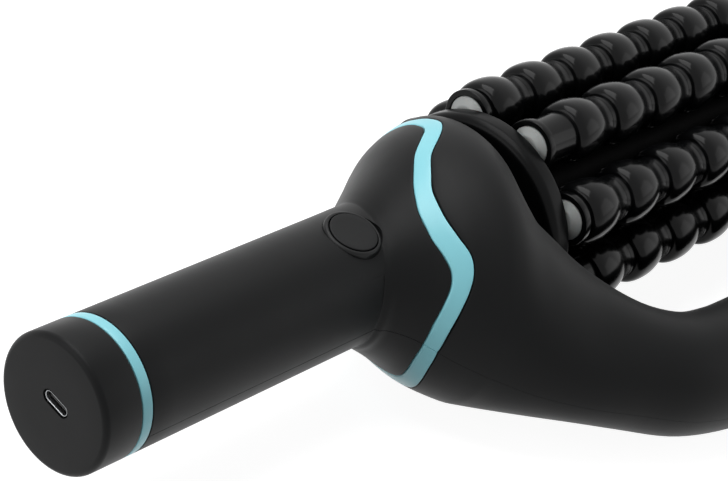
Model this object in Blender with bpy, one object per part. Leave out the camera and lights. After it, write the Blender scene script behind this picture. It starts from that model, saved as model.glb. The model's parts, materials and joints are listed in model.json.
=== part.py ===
"""Anti-cellulite massager: a round handle that widens into a bent, tapering housing. The housing
runs on beside a driven drum as a second grip and ends in a closed hub at the drum's far end.
Eight beaded rollers turn freely on steel axles between the drum's two discs.

While it is built, X runs along the drum's axis from the handle to the far hub, the second grip
lies towards -Y and the power button faces +Z. One parent then tilts the whole object about X, as it
lies on a table, on its drum and its second grip.
"""
import math

import bmesh
import bpy
from mathutils import Vector

# Clearances and cuts
PART_GAP = 0.0003
OVERRUN = 0.004

# Handle and its closed end
GRIP_RADIUS = 0.0205
GRIP_LENGTH = 0.1025
GRIP_WALL = 0.0024
RING_WIDTH = 0.0035
CAP_LENGTH = 0.0131
CAP_WALL = 0.0024
CAP_EDGE_RADIUS = 0.0018
SPIGOT_LENGTH = 0.0040
SPIGOT_WALL = 0.0020

# Charging inlet
PORT_WIDTH = 0.00894
PORT_HEIGHT = 0.00326
PORT_DEPTH = 0.0074
PORT_WALL = 0.0004
PORT_SINK = 0.0003
PORT_ASIDE = -0.0006
PORT_UP = 0.0014
TONGUE_WIDTH = 0.0066
TONGUE_HEIGHT = 0.0007
CHARGE_BOARD_LENGTH = 0.0120
BOARD_THICKNESS = 0.0012

# Bent housing: handle end, widest place and second grip
HORN_TILT = math.radians(25)
DOME_LENGTH = 0.0553
HORN_TO_DOME = 2.6709
BOW_STRAIGHT = 0.0197
BOW_OFFSET = 0.0874
BOW_RADIUS = 0.0200
DOME_HALF_WIDTH = 0.0500
DOME_HALF_HEIGHT = 0.0386
FRAME_WALL = 0.0028
HUB_ROUND = 0.0260
HUB_POST_RISE = math.radians(25)

# Trim band and the lapped joint under it
BAND_THICKNESS = 0.0012
LAP_STATIONS = 0.35

# Drum
DRUM_LENGTH = 0.1871
DISC_RADIUS = 0.0365
DISC_THICKNESS = 0.0087
DISC_EDGE_RADIUS = 0.0032
MOUTH_LEAD = 0.0066
MOUTH_SLOPE = 0.13
MOUTH_CLEARANCE = 0.0025
ROLLER_CLEARANCE = 0.0028
CORE_RADIUS = 0.0200
CORE_WALL = 0.0020
SHAFT_RADIUS = 0.0030
HUB_RADIUS = 0.0080
HUB_LENGTH = 0.0110
BEARING_RADIUS = 0.0110
BEARING_WIDTH = 0.0050

# Rollers
ROLLER_COUNT = 8
ROLLER_CIRCLE = 0.0330
ROLLER_PHASE = math.radians(4.5)
BEAD_RADIUS = 0.0104
BEAD_COUNT = 8
BEAD_MARGIN = 0.0130
BEAD_FILL = 0.7556
NECK_RADIUS = 0.0083
FLANGE_RADIUS = 0.0088
FLANGE_WIDTH = 0.0026
ROLLER_END_GAP = 0.0018
ROLLER_BORE = 0.0050
COLLAR_RADIUS = 0.0067
COLLAR_SINK = 0.0016
BOSS_RADIUS = 0.0042
AXLE_RADIUS = 0.0020
AXLE_CLEARANCE = 0.00045
AXLE_SEAT_DEPTH = 0.0050

# Power button
BUTTON_BEFORE_DOME = 0.0084
BUTTON_ASIDE = 0.0008
BUTTON_RADIUS = 0.0076
BUTTON_TRAVEL = 0.0010
BUTTON_RISE = 0.0006
BUTTON_EDGE = 0.0003
BUTTON_LIP = 0.0010
BEZEL_WIDTH = 0.0013
BEZEL_DEPTH = 0.0045
BEZEL_CHAMFER = 0.0006
BUTTON_SKIRT = 0.0012
SWITCH_SIDE = 0.0060
SWITCH_HEIGHT = 0.0017

# Works inside the handle; the cell and the gearbox as shares of the handle's bore
CELL_START = 0.0080
CELL_SHARE = 0.508
CELL_DROP_SHARE = 0.276
CELL_TO_MOTOR = 0.0112
MOTOR_LENGTH = 0.0280
GEARBOX_SHARE = 0.718
GEARBOX_LENGTH = 0.0237
PLATE_SET_BACK = 0.0147
PLATE_THICKNESS = 0.0028
CONTROL_BOARD_LENGTH = 0.0225
CRADLE_LENGTH = 0.0200

# Screws
SCREW_SHANK_RADIUS = 0.0011
SCREW_HEAD_RADIUS = 0.0025
SCREW_HEAD_HEIGHT = 0.0018
SCREW_DEPTH = 0.0050
SCREW_REACH = 0.0080
POST_RADIUS = 0.0037
PLATE_SCREW_MARGIN = 0.0035
PLATE_SCREW_LENGTH = 0.0055

# Facets
HORN_SIDES = 28
TURNED_SIDES = 28
BORE_SIDES = 24
BUTTON_SIDES = 24
ROLLER_SIDES = 12
AXLE_SIDES = 8
CELL_SIDES = 16

# Places that follow from the sizes
RING_START = -RING_WIDTH
CAP_MOUTH = RING_START - PART_GAP
CAP_END = CAP_MOUTH - CAP_LENGTH
GRIP_BORE = GRIP_RADIUS - GRIP_WALL
CAP_BORE_RADIUS = GRIP_BORE - PART_GAP - SPIGOT_WALL
DISC_START = GRIP_LENGTH + DOME_LENGTH
DISC_FACE = DISC_START + DISC_THICKNESS
MOUTH_START = DISC_START - MOUTH_LEAD
MID_X = DISC_FACE + DRUM_LENGTH / 2
HORN_RUN = DOME_LENGTH * HORN_TO_DOME
ROLLER_START = DISC_FACE + ROLLER_END_GAP
ROLLER_LENGTH = DRUM_LENGTH - 2 * ROLLER_END_GAP
BEAD_PITCH = (ROLLER_LENGTH - 2 * BEAD_MARGIN) / (BEAD_COUNT - 1)
BEAD_LENGTH = BEAD_PITCH * BEAD_FILL
MOUTH_RADIUS = DISC_RADIUS + MOUTH_CLEARANCE
DRUM_ROOM = ROLLER_CIRCLE + BEAD_RADIUS + ROLLER_CLEARANCE
BUTTON_FROM_RING = GRIP_LENGTH - BUTTON_BEFORE_DOME
BEZEL_RADIUS = BUTTON_RADIUS + PART_GAP + BEZEL_WIDTH
BEZEL_FLOOR = GRIP_RADIUS - BEZEL_DEPTH
BUTTON_FLOOR = BEZEL_FLOOR - PART_GAP - BUTTON_SKIRT
SWITCH_TOP = BUTTON_FLOOR - BUTTON_TRAVEL - PART_GAP
BOARD_TOP = SWITCH_TOP - SWITCH_HEIGHT - PART_GAP
PLATE_START = MOUTH_START - PLATE_SET_BACK
GEARBOX_START = PLATE_START - PART_GAP - GEARBOX_LENGTH
GEARBOX_RADIUS = GRIP_BORE * GEARBOX_SHARE
PLATE_SCREW_CIRCLE = GEARBOX_RADIUS - PLATE_SCREW_MARGIN
MOTOR_START = GEARBOX_START - PART_GAP - MOTOR_LENGTH
MOTOR_RADIUS = BOARD_TOP - BOARD_THICKNESS - PART_GAP
CELL_LENGTH = MOTOR_START - CELL_TO_MOTOR - CELL_START
CELL_RADIUS = GRIP_BORE * CELL_SHARE
CELL_DROP = GRIP_BORE * CELL_DROP_SHARE

# The housing's oval section at each station, as shares: run along X, offset of the centre towards the
# second grip, tilt of the section in degrees, then half-width and half-height on their way from the
# neighbouring grip (0) to the widest place (1).
HORN_SHARES = (
    (0.000, 0.000, 25.0, 0.000, 0.017),
    (0.0135, 0.004, 24.2, 0.030, 0.088),
    (0.040, 0.002, 23.9, 0.110, 0.226),
    (0.090, 0.010, 23.5, 0.335, 0.480),
    (0.155, 0.034, 24.5, 0.710, 0.823),
    (0.2355, 0.069, 29.6, 1.000, 1.000),
    (0.2795, 0.156, 35.3, 0.967, 0.919),
    (0.294, 0.343, 34.4, 0.687, 0.473),
    (0.338, 0.574, 33.2, 0.340, 0.091),
    (0.411, 0.773, 34.5, 0.073, -0.030),
    (0.501, 0.904, 30.9, 0.003, -0.040),
    (0.604, 0.963, 23.8, 0.000, -0.010),
    (0.718, 0.990, 13.1, 0.000, 0.000),
    (0.837, 1.000, 4.0, 0.000, 0.000),
    (1.000, 1.000, 0.0, 0.000, 0.000),
)
DOME_STATION = 5
BOW_STATION = len(HORN_SHARES) - 1

# The trim band's two edges round half of the housing: share of the half turn from the second grip's
# side, then the stations of the band's handle-side and drum-side edges.
BAND_SHARES = (
    (0.00, 3.22, 3.58),
    (0.08, 3.26, 3.65),
    (0.15, 3.40, 3.81),
    (0.21, 3.54, 4.00),
    (0.25, 3.53, 4.09),
    (0.29, 3.37, 4.05),
    (0.34, 3.12, 3.77),
    (0.39, 3.00, 3.57),
    (0.44, 2.93, 3.49),
    (0.49, 3.00, 3.50),
    (0.54, 3.15, 3.70),
    (0.59, 3.42, 3.98),
    (0.63, 3.70, 4.43),
    (0.66, 4.07, 4.68),
    (0.69, 4.38, 4.79),
    (0.73, 4.43, 4.74),
    (0.78, 4.40, 4.62),
    (0.86, 4.25, 4.50),
    (1.00, 4.12, 4.40),
)

# A bead of a roller, from neck to neck: place along the bead, then rise from neck to full radius.
BEAD_SHARES = ((-0.50, 0.0), (-0.22, 0.90), (0.18, 0.95), (0.50, 0.0))


def clear_scene():
    """Start from an empty scene."""
    for thing in list(bpy.data.objects):
        bpy.data.objects.remove(thing, do_unlink=True)


def finish(name, colour, roughness, metallic=0.0):
    """A plain surface finish."""
    material = bpy.data.materials.new(name)
    material.use_nodes = True
    shader = material.node_tree.nodes["Principled BSDF"]
    shader.inputs["Base Color"].default_value = (*colour, 1.0)
    shader.inputs["Roughness"].default_value = roughness
    shader.inputs["Metallic"].default_value = metallic
    return material


def curve_through(places, values, at):
    """Smooth curve through points, with unequal steps allowed."""
    last = len(places) - 2
    k = 0
    while k < last and at > places[k + 1]:
        k += 1
    step = places[k + 1] - places[k]
    t = (at - places[k]) / step

    def slope(i):
        low, high = max(i - 1, 0), min(i + 1, len(places) - 1)
        return (values[high] - values[low]) / (places[high] - places[low])

    a, b = values[k], values[k + 1]
    rise_a, rise_b = slope(k) * step, slope(k + 1) * step
    return (
        a * (2 * t**3 - 3 * t**2 + 1)
        + rise_a * (t**3 - 2 * t**2 + t)
        + b * (3 * t**2 - 2 * t**3)
        + rise_b * (t**3 - t**2)
    )


def horn_sizes():
    """The housing's stations in real sizes: X, offset, tilt, half-width and half-height."""
    stations = []
    for k, (run, offset, tilt, wide, high) in enumerate(HORN_SHARES):
        x = MID_X - BOW_STRAIGHT / 2 if k == BOW_STATION else GRIP_LENGTH + HORN_RUN * run
        on_handle = k < DOME_STATION
        end_width = GRIP_RADIUS / math.cos(HORN_TILT) if on_handle else BOW_RADIUS
        end_height = GRIP_RADIUS if on_handle else BOW_RADIUS
        stations.append((
            x,
            BOW_OFFSET * offset,
            math.radians(tilt),
            end_width + (DOME_HALF_WIDTH - end_width) * wide,
            end_height + (DOME_HALF_HEIGHT - end_height) * high,
        ))
    return stations


HORN = horn_sizes()
HORN_COLUMNS = list(zip(*HORN))
HORN_PLACES = list(range(len(HORN)))


def oval_point(section, angle, inset=0.0, far=False):
    """A point on a tilted oval section; the far half of the housing mirrors the near one."""
    x, offset, tilt, wide, high = section
    across = (wide - inset) * math.cos(angle)
    x = x - math.sin(tilt) * across
    reach = offset + math.cos(tilt) * across
    if far:
        x = 2 * MID_X - x
    return Vector((x, -reach, (high - inset) * math.sin(angle)))


def horn_point(station, angle, inset=0.0, far=False):
    """A point on the housing's skin, or under it by the inset."""
    section = [curve_through(HORN_PLACES, column, station) for column in HORN_COLUMNS]
    return oval_point(section, angle, inset, far)


def hub_section(rise):
    """The far hub's rounded end: the widest section, moved square to itself and drawn in."""
    x, offset, tilt, wide, high = HORN[DOME_STATION]
    out, draw = HUB_ROUND * math.sin(rise), math.cos(rise)
    x -= math.cos(tilt) * out
    offset -= math.sin(tilt) * out
    return x, offset, tilt, wide * draw, high * draw


def band_edges(angle):
    """Stations of the trim band's two edges at an angle round the housing."""
    share = abs(math.remainder(angle, 2 * math.pi)) / math.pi
    places, inner, outer = zip(*BAND_SHARES)
    return curve_through(places, inner, share), curve_through(places, outer, share)


def band_stations(angle):
    """Band edges and the stations just clear of them on both sides."""
    inner, outer = band_edges(angle)
    width = (horn_point(outer, angle) - horn_point(inner, angle)).length
    clear = (outer - inner) * PART_GAP / width
    return inner - clear, inner, outer, outer + clear


def turn(sides, first=0.0):
    """Equal steps of angle round a full turn."""
    return [first + 2 * math.pi * k / sides for k in range(sides)]


def horn_angles():
    """Angles round the housing, half a step off the parting plane."""
    return turn(HORN_SIDES, math.pi / HORN_SIDES)


def ring_x(x, radius, sides, first=0.0, y=0.0, z=0.0):
    """A ring of points round an axis along X, or one point where the radius is 0."""
    if radius == 0:
        return [Vector((x, y, z))]
    return [Vector((x, y - radius * math.sin(a), z + radius * math.cos(a))) for a in turn(sides, first)]


def skin(rings, looped=False):
    """Closed mesh over a row of rings; a ring of one point closes to a tip, others are capped."""
    mesh = bmesh.new()
    rows = [[mesh.verts.new(point) for point in ring] for ring in rings]
    pairs = list(zip(rows, rows[1:]))
    if looped:
        pairs.append((rows[-1], rows[0]))
    for a, b in pairs:
        count = max(len(a), len(b))
        for i in range(count):
            j = (i + 1) % count
            corners = []
            for row, k in ((a, i), (a, j), (b, j), (b, i)):
                vertex = row[k % len(row)]
                if vertex not in corners:
                    corners.append(vertex)
            mesh.faces.new(corners)
    if not looped:
        for row in (rows[0], rows[-1]):
            if len(row) > 2:
                mesh.faces.new(row)
    bmesh.ops.recalc_face_normals(mesh, faces=mesh.faces)
    bmesh.ops.triangulate(mesh, faces=mesh.faces)
    return mesh


def joined(meshes):
    """Several separate bodies in one mesh."""
    whole = bmesh.new()
    for mesh in meshes:
        copy = bpy.data.meshes.new("copy")
        mesh.to_mesh(copy)
        whole.from_mesh(copy)
        bpy.data.meshes.remove(copy)
        mesh.free()
    return whole


def lathe(profile, sides, looped=False, first=0.0, y=0.0, z=0.0):
    """A turned piece: (x, radius) points swept round an axis along X."""
    return skin([ring_x(x, r, sides, first, y, z) for x, r in profile], looped)


def prism(outline, low, high):
    """An outline of (y, z) pairs carried from low to high along X."""
    return skin([[Vector((x, y, z)) for y, z in outline] for x in (low, high)])


def slab(low, high):
    """A box between two corners."""
    outline = [(low[1], low[2]), (high[1], low[2]), (high[1], high[2]), (low[1], high[2])]
    return prism(outline, low[0], high[0])


def arc(radius, start, end, steps, y=0.0, z=0.0):
    """Points (y, z) along an arc, angles from +Y towards +Z."""
    angles = [start + (end - start) * k / steps for k in range(steps + 1)]
    return [(y + radius * math.cos(a), z + radius * math.sin(a)) for a in angles]


def place(name, mesh, material, location=(0, 0, 0)):
    """Put a mesh in the scene as one named piece under the common parent."""
    data = bpy.data.meshes.new(name)
    mesh.to_mesh(data)
    mesh.free()
    data.shade_smooth()
    data.set_sharp_from_angle(angle=SHARP_ANGLE)
    data.materials.append(material)
    piece = bpy.data.objects.new(name, data)
    bpy.context.scene.collection.objects.link(piece)
    piece.location = location
    piece.parent = REST
    return piece


def cutter(name, mesh, location=(0, 0, 0)):
    """A hidden guide that other pieces are cut by."""
    guide = place(name, mesh, HIDDEN, location)
    guide.hide_render = True
    guide.display_type = "WIRE"
    return guide


def combine(piece, guide, operation):
    """Cut, join or trim a piece by a guide."""
    step = piece.modifiers.new(operation.lower(), "BOOLEAN")
    step.operation = operation
    step.solver = "EXACT"
    step.object = guide


SHARP_ANGLE = math.radians(35)

clear_scene()
REST = bpy.data.objects.new("rest_pose", None)
bpy.context.scene.collection.objects.link(REST)

HIDDEN = finish("guide", (0.5, 0.5, 0.5), 0.5)
SHELL_BLACK = finish("soft_touch_black", (0.018, 0.019, 0.019), 0.5)
ROLLER_BLACK = finish("gloss_black", (0.008, 0.008, 0.009), 0.12)
DISC_BLACK = finish("satin_black", (0.016, 0.017, 0.018), 0.35)
TRIM_BLUE = finish("pale_turquoise", (0.26, 0.72, 0.82), 0.4)
SLEEVE_GREY = finish("pale_acetal", (0.62, 0.64, 0.63), 0.4)
STEEL = finish("bright_steel", (0.60, 0.61, 0.62), 0.25, 1.0)
BOARD_GREEN = finish("board_green", (0.02, 0.16, 0.07), 0.45)
CELL_WRAP = finish("cell_wrap", (0.03, 0.12, 0.34), 0.35)
WORKS_GREY = finish("works_grey", (0.20, 0.21, 0.22), 0.5)


def rest_tilt():
    """Tilt at which the lowest roller and the second grip touch the table together."""
    tilt = 0.0
    for _ in range(40):
        down = math.pi - tilt
        low = 0.0
        for k in range(ROLLER_COUNT):
            lean = ROLLER_PHASE + 2 * math.pi * k / ROLLER_COUNT - down
            low = max(low, ROLLER_CIRCLE * math.cos(lean) + BEAD_RADIUS)
        tilt = math.asin((low - BOW_RADIUS) / BOW_OFFSET)
    return tilt


REST_TILT = rest_tilt()


# Half-spaces that part the upper and lower shells
def parting_block(name, side):
    """A block over one side of the parting plane, half a gap away from it."""
    near, far = side * PART_GAP / 2, side * (DOME_HALF_HEIGHT + OVERRUN)
    low = (CAP_END - OVERRUN, -(BOW_OFFSET + BOW_RADIUS + OVERRUN), min(near, far))
    high = (2 * MID_X, DOME_HALF_WIDTH + OVERRUN, max(near, far))
    return cutter(name, slab(low, high))


UPPER_SPACE = parting_block("upper_space", 1)
LOWER_SPACE = parting_block("lower_space", -1)

# Screw posts: X, offset towards the second grip, half-height of the shell there and its wall
ARM_STATION = 8
ARM_POST = HORN[ARM_STATION]
HUB_POST = hub_section(HUB_POST_RISE)
GRIP_POST_X = (CELL_START + CELL_LENGTH + MOTOR_START) / 2
POST_PLACES = (
    (ARM_POST[0], ARM_POST[1] + POST_RADIUS, ARM_POST[4], FRAME_WALL),
    (2 * MID_X - ARM_POST[0], ARM_POST[1] + POST_RADIUS, ARM_POST[4], FRAME_WALL),
    (MID_X - DRUM_LENGTH / 4, BOW_OFFSET, BOW_RADIUS, FRAME_WALL),
    (MID_X + DRUM_LENGTH / 4, BOW_OFFSET, BOW_RADIUS, FRAME_WALL),
    (2 * MID_X - HUB_POST[0], HUB_POST[1], HUB_POST[4], FRAME_WALL),
)
GRIP_POST = (GRIP_POST_X, 0.0, GRIP_RADIUS, GRIP_WALL)


def upright(profile, sides, x=0.0, offset=0.0, looped=False):
    """A turned piece standing along Z; the profile is (height, radius) pairs."""
    rings = []
    for height, radius in profile:
        if radius == 0:
            rings.append([Vector((x, -offset, height))])
        else:
            ring = [(radius * math.cos(a), radius * math.sin(a)) for a in turn(sides)]
            rings.append([Vector((x + u, v - offset, height)) for u, v in ring])
    return skin(rings, looped)


def post(side, x, offset, half_height, wall):
    """A post from just off the parting plane into the wall above or below it."""
    end = half_height - wall / 2
    return upright([(side * PART_GAP, POST_RADIUS), (side * end, POST_RADIUS)], AXLE_SIDES, x, offset)


def screw_floor(half_height):
    """Height of the seat that a shell screw's head bears on."""
    return -(half_height - SCREW_DEPTH)


def post_hole(x, offset, half_height, wall):
    """Counterbored hole for a shell screw, driven from below."""
    seat = screw_floor(half_height)
    head = SCREW_HEAD_RADIUS + PART_GAP
    shank = SCREW_SHANK_RADIUS + PART_GAP
    top = SCREW_REACH + PART_GAP
    profile = [(-(half_height + OVERRUN), head), (seat, head), (seat, shank), (top, shank)]
    return upright(profile, AXLE_SIDES, x, offset)


def shell_screw(x, offset, half_height, wall):
    """A shell screw, its head just off the seat."""
    seat = screw_floor(half_height) - PART_GAP
    head, shank = SCREW_HEAD_RADIUS, SCREW_SHANK_RADIUS
    profile = [(seat - SCREW_HEAD_HEIGHT, head), (seat, head), (seat, shank), (SCREW_REACH, shank)]
    return upright(profile, AXLE_SIDES, x, offset)


# Closed end of the handle: end cap, trim ring, charging inlet and its board
def make_end_cap():
    """Cup with a rounded end and a spigot that carries the trim ring and enters the handle."""
    spigot = GRIP_BORE - PART_GAP
    edge = [
        (
            CAP_END + CAP_EDGE_RADIUS * (1 - math.cos(a)),
            GRIP_RADIUS - CAP_EDGE_RADIUS * (1 - math.sin(a)),
        )
        for a in (0.0, math.pi / 6, math.pi / 3, math.pi / 2)
    ]
    profile = [(CAP_END, 0), *edge]
    profile += [(CAP_MOUTH, GRIP_RADIUS), (CAP_MOUTH, spigot)]
    profile += [(SPIGOT_LENGTH, spigot), (SPIGOT_LENGTH, CAP_BORE_RADIUS)]
    profile += [(CAP_END + CAP_WALL, CAP_BORE_RADIUS), (CAP_END + CAP_WALL, 0)]
    cap = place("end_cap", lathe(profile, TURNED_SIDES), SHELL_BLACK)
    hole = cutter("port_hole", prism(
        oblong(PORT_WIDTH + 2 * PART_GAP, PORT_HEIGHT + 2 * PART_GAP),
        CAP_END - OVERRUN, CAP_END + CAP_WALL + OVERRUN,
    ))
    combine(cap, hole, "DIFFERENCE")
    ring = [
        (RING_START, GRIP_BORE), (RING_START, GRIP_RADIUS), (0, GRIP_RADIUS), (0, GRIP_BORE),
    ]
    place("end_ring", lathe(ring, TURNED_SIDES, looped=True), TRIM_BLUE)


def oblong(width, height):
    """Outline (y, z) of the inlet or its hole: round ends, longer along Y."""
    radius = height / 2
    shift = width / 2 - radius
    right = arc(radius, -math.pi / 2, math.pi / 2, 4, PORT_ASIDE + shift, PORT_UP)
    left = arc(radius, math.pi / 2, 3 * math.pi / 2, 4, PORT_ASIDE - shift, PORT_UP)
    return right + left


def make_charging_inlet():
    """Drawn metal shell with its tongue, on a board across the cap."""
    front = CAP_END + PORT_SINK
    outer = oblong(PORT_WIDTH, PORT_HEIGHT)
    inner = oblong(PORT_WIDTH - 2 * PORT_WALL, PORT_HEIGHT - 2 * PORT_WALL)
    back = front + PORT_DEPTH
    floor = back - PORT_WALL
    rings = [
        [Vector((x, y, z)) for y, z in outline]
        for x, outline in ((back, outer), (front, outer), (front, inner), (floor, inner))
    ]
    port = place("charging_port", skin(rings), STEEL)
    tongue = cutter("port_tongue", slab(
        (front + 2 * PORT_WALL, PORT_ASIDE - TONGUE_WIDTH / 2, PORT_UP - TONGUE_HEIGHT / 2),
        (floor + PORT_WALL / 2, PORT_ASIDE + TONGUE_WIDTH / 2, PORT_UP + TONGUE_HEIGHT / 2),
    ))
    combine(port, tongue, "UNION")
    top = PORT_UP - PORT_HEIGHT / 2 - PART_GAP
    start = CAP_END + CAP_WALL + PART_GAP
    half = math.sqrt(CAP_BORE_RADIUS**2 - (top - BOARD_THICKNESS)**2) - 2 * PART_GAP
    place("charge_board", slab(
        (start, -half, top - BOARD_THICKNESS), (start + CHARGE_BOARD_LENGTH, half, top),
    ), BOARD_GREEN)


# Handle shells, with the front of the dome up to the trim band
def make_grip_shells():
    """Tube that widens into the dome and laps over the housing's tongue under the trim band."""
    angles = horn_angles()
    thin = BAND_THICKNESS
    rings = []
    for radius in (GRIP_BORE, GRIP_RADIUS):
        rings.append([Vector((PART_GAP, -radius * math.cos(a), radius * math.sin(a))) for a in angles])
    for station in (0.0, 1.0, 1.6, 2.2):
        rings.append([horn_point(station, a) for a in angles])
    first = 2.2
    for share in (0.5, 1.0):
        rings.append([
            horn_point(first + (band_stations(a)[0] - first) * share, a) for a in angles
        ])
    rings.append([horn_point(band_stations(a)[0], a, thin) for a in angles])
    laps = [(band_stations(a)[0] - LAP_STATIONS * (1 + LAP_CLEAR_SHARE), a) for a in angles]
    rings.append([horn_point(station, a, thin) for station, a in laps])
    rings.append([horn_point(station, a, GRIP_WALL) for station, a in laps])
    for station in (1.6, 0.0):
        rings.append([horn_point(station, a, GRIP_WALL) for a in angles])
    wide = BEZEL_RADIUS + PART_GAP
    hole = upright([(0, wide), (GRIP_RADIUS + OVERRUN, wide)], BUTTON_SIDES)
    hole = cutter("bezel_hole", hole, (BUTTON_FROM_RING, BUTTON_ASIDE, 0))
    screw_hole = cutter("grip_screw_hole", post_hole(*GRIP_POST))
    for half, space, side in (("upper", UPPER_SPACE, 1), ("lower", LOWER_SPACE, -1)):
        shell = place(f"grip_shell_{half}", skin(rings, looped=True), SHELL_BLACK)
        combine(shell, space, "INTERSECT")
        combine(shell, cutter(f"grip_post_{half}", post(side, *GRIP_POST)), "UNION")
        combine(shell, screw_hole, "DIFFERENCE")
        if side > 0:
            combine(shell, hole, "DIFFERENCE")


LAP_CLEAR_SHARE = 0.12


# Trim band, an upper and a lower half that lie in the step between the shells
def make_band():
    """Two bent strips that follow the wavy edge round the dome."""
    loops = []
    for angle in horn_angles():
        _, inner, outer, _ = band_stations(angle)
        loop = [(inner, BAND_THICKNESS), (inner, 0), (outer, 0), (outer, BAND_THICKNESS)]
        loops.append([horn_point(station, angle, inset) for station, inset in loop])
    for name, half in (("band_upper", UPPER_SPACE), ("band_lower", LOWER_SPACE)):
        band = place(name, skin(loops, looped=True), TRIM_BLUE)
        combine(band, half, "INTERSECT")


# Housing: dome behind the band, arm, second grip, far arm and far hub, in an upper and lower shell
HUB_RISES = [math.radians(a) for a in (16, 33, 50, 65, 79)]
NEAR_STATIONS = (6.0, 6.5, 7.0, 7.5, 8.0, 8.5, 9.0, 10.0, 11.0, 12.0, 13.0, BOW_STATION)
FAR_STATIONS = (BOW_STATION, 13.0, 12.0, 11.0, 10.0, 9.0, 8.5, 8.0, 7.5, 7.0, 6.5, 6.0, 5.5, 5.0)
HOLLOW_STATIONS = (2.0, 3.5, 5.0, 6.0, 6.5, 7.0, 7.5, 8.0, 9.0, 10.5, 12.0, BOW_STATION)


def hub_rings(angles, inset=0.0):
    """Rings that close the far hub, and its tip."""
    rings = [[oval_point(hub_section(r), a, inset, True) for a in angles] for r in HUB_RISES]
    x, offset, tilt, _, _ = hub_section(math.pi / 2)
    x += math.cos(tilt) * inset
    offset += math.sin(tilt) * inset
    return rings + [[Vector((2 * MID_X - x, -offset, 0))]]


def housing_skin():
    """Outer skin with the tongue that runs under the trim band."""
    angles = horn_angles()
    step = BAND_THICKNESS + PART_GAP
    laps = [(band_stations(a)[0] - LAP_STATIONS, a) for a in angles]
    start = [horn_point(station, a, step) for station, a in laps]
    centre = sum(start, Vector()) / len(start)
    rings = [[centre], start]
    for edge in (1, 3):
        rings.append([horn_point(band_stations(a)[edge], a, step) for a in angles])
    last = 5.5
    for share in (0.0, 0.5, 1.0):
        row = []
        for a in angles:
            first = band_stations(a)[3]
            row.append(horn_point(first + (last - first) * share, a))
        rings.append(row)
    rings += [[horn_point(station, a) for a in angles] for station in NEAR_STATIONS]
    rings += [[horn_point(station, a, 0.0, True) for a in angles] for station in FAR_STATIONS]
    return skin(rings + hub_rings(angles))


def housing_hollow(wall):
    """The space inside the housing, all along it."""
    angles = horn_angles()
    x, offset, _, _, _ = HORN[2]
    rings = [[Vector((x, -offset, 0))]]
    for far, stations in ((False, HOLLOW_STATIONS), (True, HOLLOW_STATIONS[:1:-1])):
        rings += [[horn_point(station, a, wall, far) for a in angles] for station in stations]
    return skin(rings + hub_rings(angles, wall))


def drum_space(wall):
    """Turned space for the drum between slanted mouths; with a wall, the space the hollow keeps off."""
    sides = TURNED_SIDES
    first = math.pi / sides
    mouth, room = MOUTH_RADIUS + wall, DRUM_ROOM + wall
    start = MOUTH_START - wall
    cone = DISC_START + PART_GAP
    full = DISC_FACE + PART_GAP

    def slanted(far):
        ring = []
        for point in ring_x(0, mouth, sides, first):
            x = start + MOUTH_SLOPE * point.y
            ring.append(Vector((2 * MID_X - x if far else x, point.y, point.z)))
        return ring

    rings = [[Vector((start, 0, 0))], slanted(False)]
    rings += [ring_x(cone, mouth, sides, first), ring_x(full, room, sides, first)]
    rings += [ring_x(2 * MID_X - full, room, sides, first)]
    rings += [ring_x(2 * MID_X - cone, mouth, sides, first)]
    rings += [slanted(True), [Vector((2 * MID_X - start, 0, 0))]]
    return skin(rings)


def make_frame_shells():
    """Upper and lower shells with the drum's space, the bearing holes and the screw posts."""
    space = cutter("drum_space", drum_space(0.0))
    keep_off = cutter("drum_space_wall", drum_space(FRAME_WALL))
    hollow = cutter("housing_hollow", housing_hollow(FRAME_WALL))
    combine(hollow, keep_off, "DIFFERENCE")
    bore_start = MOUTH_START - FRAME_WALL - 2 * OVERRUN
    seat = BEARING_RADIUS + PART_GAP
    bore = cutter("bearing_bore", lathe(
        [(bore_start, seat), (2 * MID_X - bore_start, seat)], BORE_SIDES, False,
        math.pi / BORE_SIDES,
    ))
    holes = cutter("frame_screw_holes", joined([post_hole(*spot) for spot in POST_PLACES]))
    for half, block, side in (("upper", UPPER_SPACE, 1), ("lower", LOWER_SPACE, -1)):
        shell = place(f"frame_shell_{half}", housing_skin(), SHELL_BLACK)
        posts = cutter(f"frame_posts_{half}", joined([post(side, *spot) for spot in POST_PLACES]))
        combine(shell, block, "INTERSECT")
        combine(shell, space, "DIFFERENCE")
        combine(shell, hollow, "DIFFERENCE")
        combine(shell, bore, "DIFFERENCE")
        combine(shell, posts, "UNION")
        combine(shell, holes, "DIFFERENCE")
    for k, spot in enumerate((GRIP_POST, *POST_PLACES)):
        place(f"shell_screw_{k + 1}", shell_screw(*spot), STEEL)


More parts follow.
